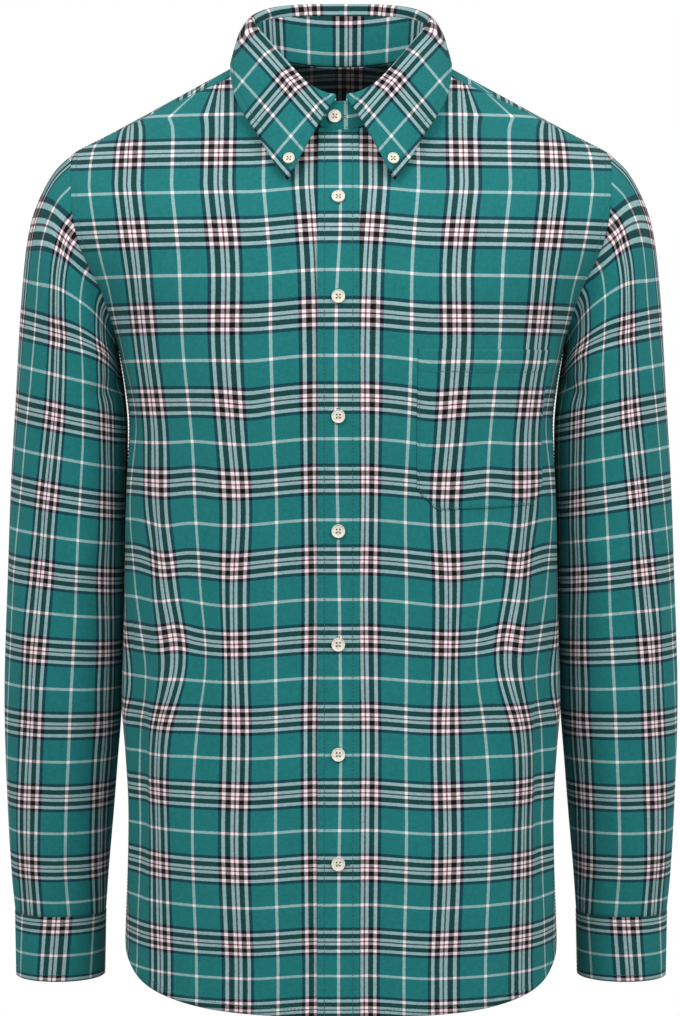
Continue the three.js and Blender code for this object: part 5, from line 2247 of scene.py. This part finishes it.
        laid_warp, laid_weft = self.laid_grain(points)
        laid_warp = np.where(around > 0, laid_warp, 1 - laid_warp)
        meet = int(np.argmin(np.abs(across.mean(axis=1) - self.grain_from)))
        laid = 1 - smoothstep(np.abs(angle), *self.laid_to)
        slope = np.gradient(drop, around)
        warp = lerp(count + (along[meet] + slope * across[meet]) / self.repeat, laid_warp[meet], laid)
        weft = lerp((across[meet] - drop - slope * along[meet]) / self.repeat, laid_weft[meet], laid)
        slope = -self.repeat * np.gradient(weft, around)
        along, over = along - along[meet], across - across[meet]
        warp = warp + (along + slope * over) / self.repeat
        weft = weft + (over - slope * along) / self.repeat
        share = laid * smoothstep(over, *self.laid_over)
        return np.stack([lerp(warp, laid_warp, share), lerp(weft, laid_weft, share)], axis=-1)

    def laid_grain(self, points: Array) -> tuple[Array, Array]:
        """The check where the leaf lies flat on the chest, as it shows from the front.

        Args:
            points: Points of the leaf.

        Returns:
            Repeats of the warp and of the weft, counted for the wearer's left.
        """
        x = np.abs(points[..., 0]) - self.grain_place[0]
        z = points[..., 2] - self.grain_place[1]
        (warp_x, warp_z), (weft_x, weft_z) = self.grain_warp, self.grain_weft
        area = warp_x * weft_z - weft_x * warp_z
        return 3 + (weft_z * x - weft_x * z) / area, 0.5 + (warp_x * z - warp_z * x) / area

    def build(self) -> dict[str, Cloth]:
        """Make the stand and the leaf, with their stitches.

        Returns:
            Both cloths by the name of their CAD node.
        """
        cloths = {"collar_stand": self.stand(), "collar_leaf": self.leaf()}
        paths = []
        for node, cloth in cloths.items():
            inset = self.stitched if node == "collar_leaf" else self.stand_stitched
            edges = (Edge.START, Edge.END, Edge.BOTTOM) + ((Edge.TOP,) if node == "collar_stand" else ())
            near = np.min([cloth.distance(edge) for edge in edges], axis=0)
            outer = self.half - groove(near - inset, self.pressed, self.pressed_half)
            swell = groove(near - inset / 2, self.pucker, self.pucker_half)
            outer = outer + swell * np.sin(runs_along(cloth.points, 1) / self.pucker_pitch)
            sew_piece(node, cloth, outer, self.half, self.finishes.flannel)
            paths += [cloth.seam(edge, inset, self.half - 0.1) for edge in edges]
        dress(Stitching().along(paths, "collar_stitches"), self.finishes.thread, "flannel")
        return cloths


# Buttons

@dataclass
class Buttons:
    """Four-hole buttons where the frame has them, with their thread and buttonholes. Millimetres."""

    finishes: Finishes
    gap: float = 0.3
    rim: float = 1.1
    hole: float = 0.75
    hole_apart: float = 1.3
    slot: float = 14
    slot_half: float = 0.85
    slot_points: int = 20
    slip: float = 3
    front_radius: float = 5.5
    front_thickness: float = 2.2
    point_radius: float = 4.8
    point_thickness: float = 2.0
    dish: float = 0.6
    bevel: float = 0.22
    thread: float = 0.28
    thread_sunk: float = 0.55
    thread_arch: float = 0.45
    thread_dip: float = 1.5
    thread_points: int = 9

    def blank(self, radius: float, thickness: float) -> Object:
        """Turn a button at the origin: a disc, rimmed, dished, rounded and drilled.

        Args:
            radius: Its outer radius.
            thickness: Its thickness at the rim.

        Returns:
            The button, facing +Z, its middle at the origin.
        """
        bpy.ops.object.select_all(action="DESELECT")
        bpy.ops.mesh.primitive_cylinder_add(vertices=48, radius=radius * MM, depth=thickness * MM)
        button = bpy.context.object
        bpy.ops.object.mode_set(mode="EDIT")
        mesh = bmesh.from_edit_mesh(button.data)
        for face in mesh.faces:
            face.select_set(face.normal.z > 0.9)
        bmesh.update_edit_mesh(button.data)
        bpy.ops.mesh.inset(thickness=self.rim * 0.5 * MM)
        bpy.ops.mesh.inset(thickness=self.rim * 0.5 * MM)
        bpy.ops.transform.translate(value=(0, 0, -self.dish * MM))
        bpy.ops.mesh.inset(thickness=self.rim * 0.4 * MM)
        bpy.ops.object.mode_set(mode="OBJECT")
        bpy.ops.object.select_all(action="DESELECT")
        drills = []
        for x in (-self.hole_apart, self.hole_apart):
            for y in (-self.hole_apart, self.hole_apart):
                bpy.ops.mesh.primitive_cylinder_add(
                    vertices=16, radius=self.hole * MM, depth=4 * thickness * MM,
                    location=(x * MM, y * MM, 0),
                )
                drills.append(bpy.context.object)
        bpy.ops.object.select_all(action="DESELECT")
        for drill in drills:
            drill.select_set(True)
        bpy.context.view_layer.objects.active = drills[0]
        bpy.ops.object.join()
        cutter = bpy.context.object
        for name, kind in (("holes", "BOOLEAN"), ("edges", "BEVEL")):
            button.modifiers.new(name, kind)
        button.modifiers["holes"].object = cutter
        button.modifiers["holes"].operation = "DIFFERENCE"
        button.modifiers["edges"].width = self.bevel * MM
        button.modifiers["edges"].segments = 3
        button.modifiers["edges"].limit_method = "ANGLE"
        bpy.context.view_layer.objects.active = button
        for name in ("holes", "edges"):
            bpy.ops.object.modifier_apply(modifier=name)
        bpy.data.objects.remove(cutter)
        bpy.ops.object.select_all(action="DESELECT")
        button.select_set(True)
        bpy.ops.object.shade_smooth_by_angle(angle=math.radians(35))
        return button

    def turned(self, normal: Array) -> Matrix:
        """Turn +Z to face along a normal and keep Y upward.

        Args:
            normal: The direction to face.

        Returns:
            The rotation.
        """
        across = unit(np.cross([0, 0, 1], normal))
        upward = np.cross(normal, across)
        return Matrix([[across[k], upward[k], normal[k]] for k in range(3)]).to_4x4()

    def sew_on(
        self, blank: Object, node: str, cloth: Cloth, slot: Slot
    ) -> tuple[list[Path], list[Path]]:
        """Place a copy of a button where its CAD node is.

        Args:
            blank: The button to copy.
            node: The CAD node.
            cloth: The cloth it lies on.
            slot: Which way its buttonhole runs.

        Returns:
            The paths of the buttonhole's two sides, and those of the thread in the button.
        """
        low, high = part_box(node)
        centre = (np.array(low) + np.array(high)) / 2 / MM
        normal = cloth.nearest(centre)
        turn = self.turned(normal)
        mesh = blank.data.copy()
        mesh.transform(Matrix.Translation(Vector(centre * MM)) @ turn)
        piece = bpy.data.objects.new(f"{node}_disc", mesh)
        bpy.context.scene.collection.objects.link(piece)
        dress(piece, self.finishes.resin, "button", node)
        across, upward = np.array(turn.col[0][:3]), np.array(turn.col[1][:3])
        half = blank.dimensions.z / MM / 2
        ground = centre - normal * (half + self.gap - 0.1)
        if slot is Slot.LEVEL:
            across, upward = upward, across
            ground = ground + upward * self.slip
        ends = np.linspace(-self.slot / 2, self.slot / 2, self.slot_points)[:, None] * upward
        normals = np.tile(normal, (self.slot_points, 1))
        sides = [(ground + ends + across * offset, normals) for offset in (-self.slot_half, self.slot_half)]
        face = centre + normal * (half - self.thread_sunk)
        line = np.linspace(0, 1, self.thread_points)[:, None]
        arch = self.thread_arch * np.sin(math.pi * line) - self.thread_dip * np.abs(2 * line - 1) ** 6
        bars = []
        for sign in (1, -1):
            reach = self.hole_apart * (2 * line - 1)
            place = face + reach * across + sign * reach * upward
            bars.append((place + arch * normal, np.tile(normal, (self.thread_points, 1))))
        return sides, bars

    def build(self, cloths: dict[str, Cloth]) -> None:
        """Make every button with its thread and buttonhole.

        Args:
            cloths: The cloths that carry the buttons, by the name of their CAD node.
        """
        front = self.blank(self.front_radius, self.front_thickness)
        point = self.blank(self.point_radius, self.point_thickness)
        placed = [(front, f"button_front_{number}", "placket", Slot.UPRIGHT) for number in range(1, 7)]
        placed.append((front, "button_front_7", "placket", Slot.LEVEL))
        placed.append((front, "button_collar", "collar_stand", Slot.LEVEL))
        for side in ("left", "right"):
            placed.append((point, f"button_point_{side}", "collar_leaf", Slot.UPRIGHT))
            placed.append((front, f"button_cuff_{side}", f"cuff_{side}", Slot.LEVEL))
        purls, threads = [], []
        for blank, node, carrier, slot in placed:
            sides, bars = self.sew_on(blank, node, cloths[carrier], slot)
            purls += sides
            threads += bars
        for blank in (front, point):
            bpy.data.objects.remove(blank)
        purl = Stitching(length=1.3, pitch=0.55, radius=0.2, crosswise=True).along(purls, "buttonhole_purls")
        dress(purl, self.finishes.thread, "flannel")
        dress(tube(threads, self.thread, "button_threads"), self.finishes.button_thread, "flannel")


# Room, light and camera

@dataclass
class Studio:
    """The photograph's camera, daylight all round, two soft lights and a floor out of view. Metres."""

    camera_y: float = -2.7
    camera_z: float = -0.289
    lens: float = 112.5
    shift_x: float = -0.001
    shift_y: float = -0.111
    floor_z: float = -1.05
    floor_y: float = -1.4
    floor_size: float = 4.8
    floor_colour: str = "#707070"
    backdrop: float = 1.0
    daylight: float = 0.68
    lights: tuple[tuple[str, tuple[float, float, float], float], ...] = (
        ("key_light", (-1.6, -2.1, 1.2), 1.5), ("fill_light", (1.7, -2.1, 0.8), 1.7),
    )
    watts: float = 32
    aim: tuple[float, float, float] = (0, 0, -0.4)
    sensor: float = 36

    def camera(self) -> None:
        """Place the camera level with the chest."""
        data = bpy.data.cameras.new("camera")
        data.lens = self.lens
        data.sensor_width = self.sensor
        data.shift_x = self.shift_x
        data.shift_y = self.shift_y
        camera = bpy.data.objects.new("camera", data)
        camera.location = (0, self.camera_y, self.camera_z)
        camera.rotation_euler = (RIGHT_ANGLE, 0, 0)
        bpy.context.scene.collection.objects.link(camera)
        bpy.context.scene.camera = camera

    def soft_light(self, name: str, place: tuple[float, float, float], size: float) -> None:
        """Hang a large soft light that faces the shirt.

        Args:
            name: The light's name.
            place: Where it hangs.
            size: Width of its square face.
        """
        data = bpy.data.lights.new(name, "AREA")
        data.shape = "SQUARE"
        data.size = size
        data.energy = self.watts
        light = bpy.data.objects.new(name, data)
        light.location = place
        aim = Vector(self.aim) - Vector(place)
        light.rotation_euler = aim.to_track_quat("-Z", "Y").to_euler()
        bpy.context.scene.collection.objects.link(light)

    def room(self) -> None:
        """Lay the floor and light the room."""
        bpy.ops.mesh.primitive_plane_add(size=self.floor_size, location=(0, self.floor_y, self.floor_z))
        floor = bpy.context.object
        floor.name = "floor"
        material, _, shader = new_material("matt_grey_floor")
        shader.inputs["Base Color"].default_value = linear(self.floor_colour)
        shader.inputs["Roughness"].default_value = 1.0
        floor.data.materials.append(material)
        world = bpy.data.worlds.new("studio")
        bpy.context.scene.world = world
        world.use_nodes = True
        background = world.node_tree.nodes["Background"]
        background.inputs[0].default_value = (1.0, 1.0, 1.0, 1.0)
        seen = add_node(world.node_tree, "ShaderNodeLightPath").outputs["Is Camera Ray"]
        more = self.backdrop - self.daylight
        strength = compute(world.node_tree, "MULTIPLY_ADD", seen, more, self.daylight)
        world.node_tree.links.new(strength, background.inputs[1])
        for name, place, size in self.lights:
            self.soft_light(name, place, size)
        bpy.context.scene.view_settings.view_transform = "Standard"


def main() -> None:
    """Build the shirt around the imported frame."""
    logging.basicConfig(level=logging.INFO, format="%(message)s")
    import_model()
    studio = Studio()
    studio.camera()
    bpy.ops.object.select_all(action="DESELECT")
    finishes = Finishes()
    form = BodyForm()
    cloths = Panels(form, finishes).build()
    cloths["placket"] = Placket(form, finishes).build()
    Pocket(form, finishes).build(cloths["front_left"])
    cloths.update(Sleeves(form, finishes).build())
    cloths.update(Collar(form, finishes).build())
    Buttons(finishes).build(cloths)
    studio.room()


if __name__ == "__main__":
    main()
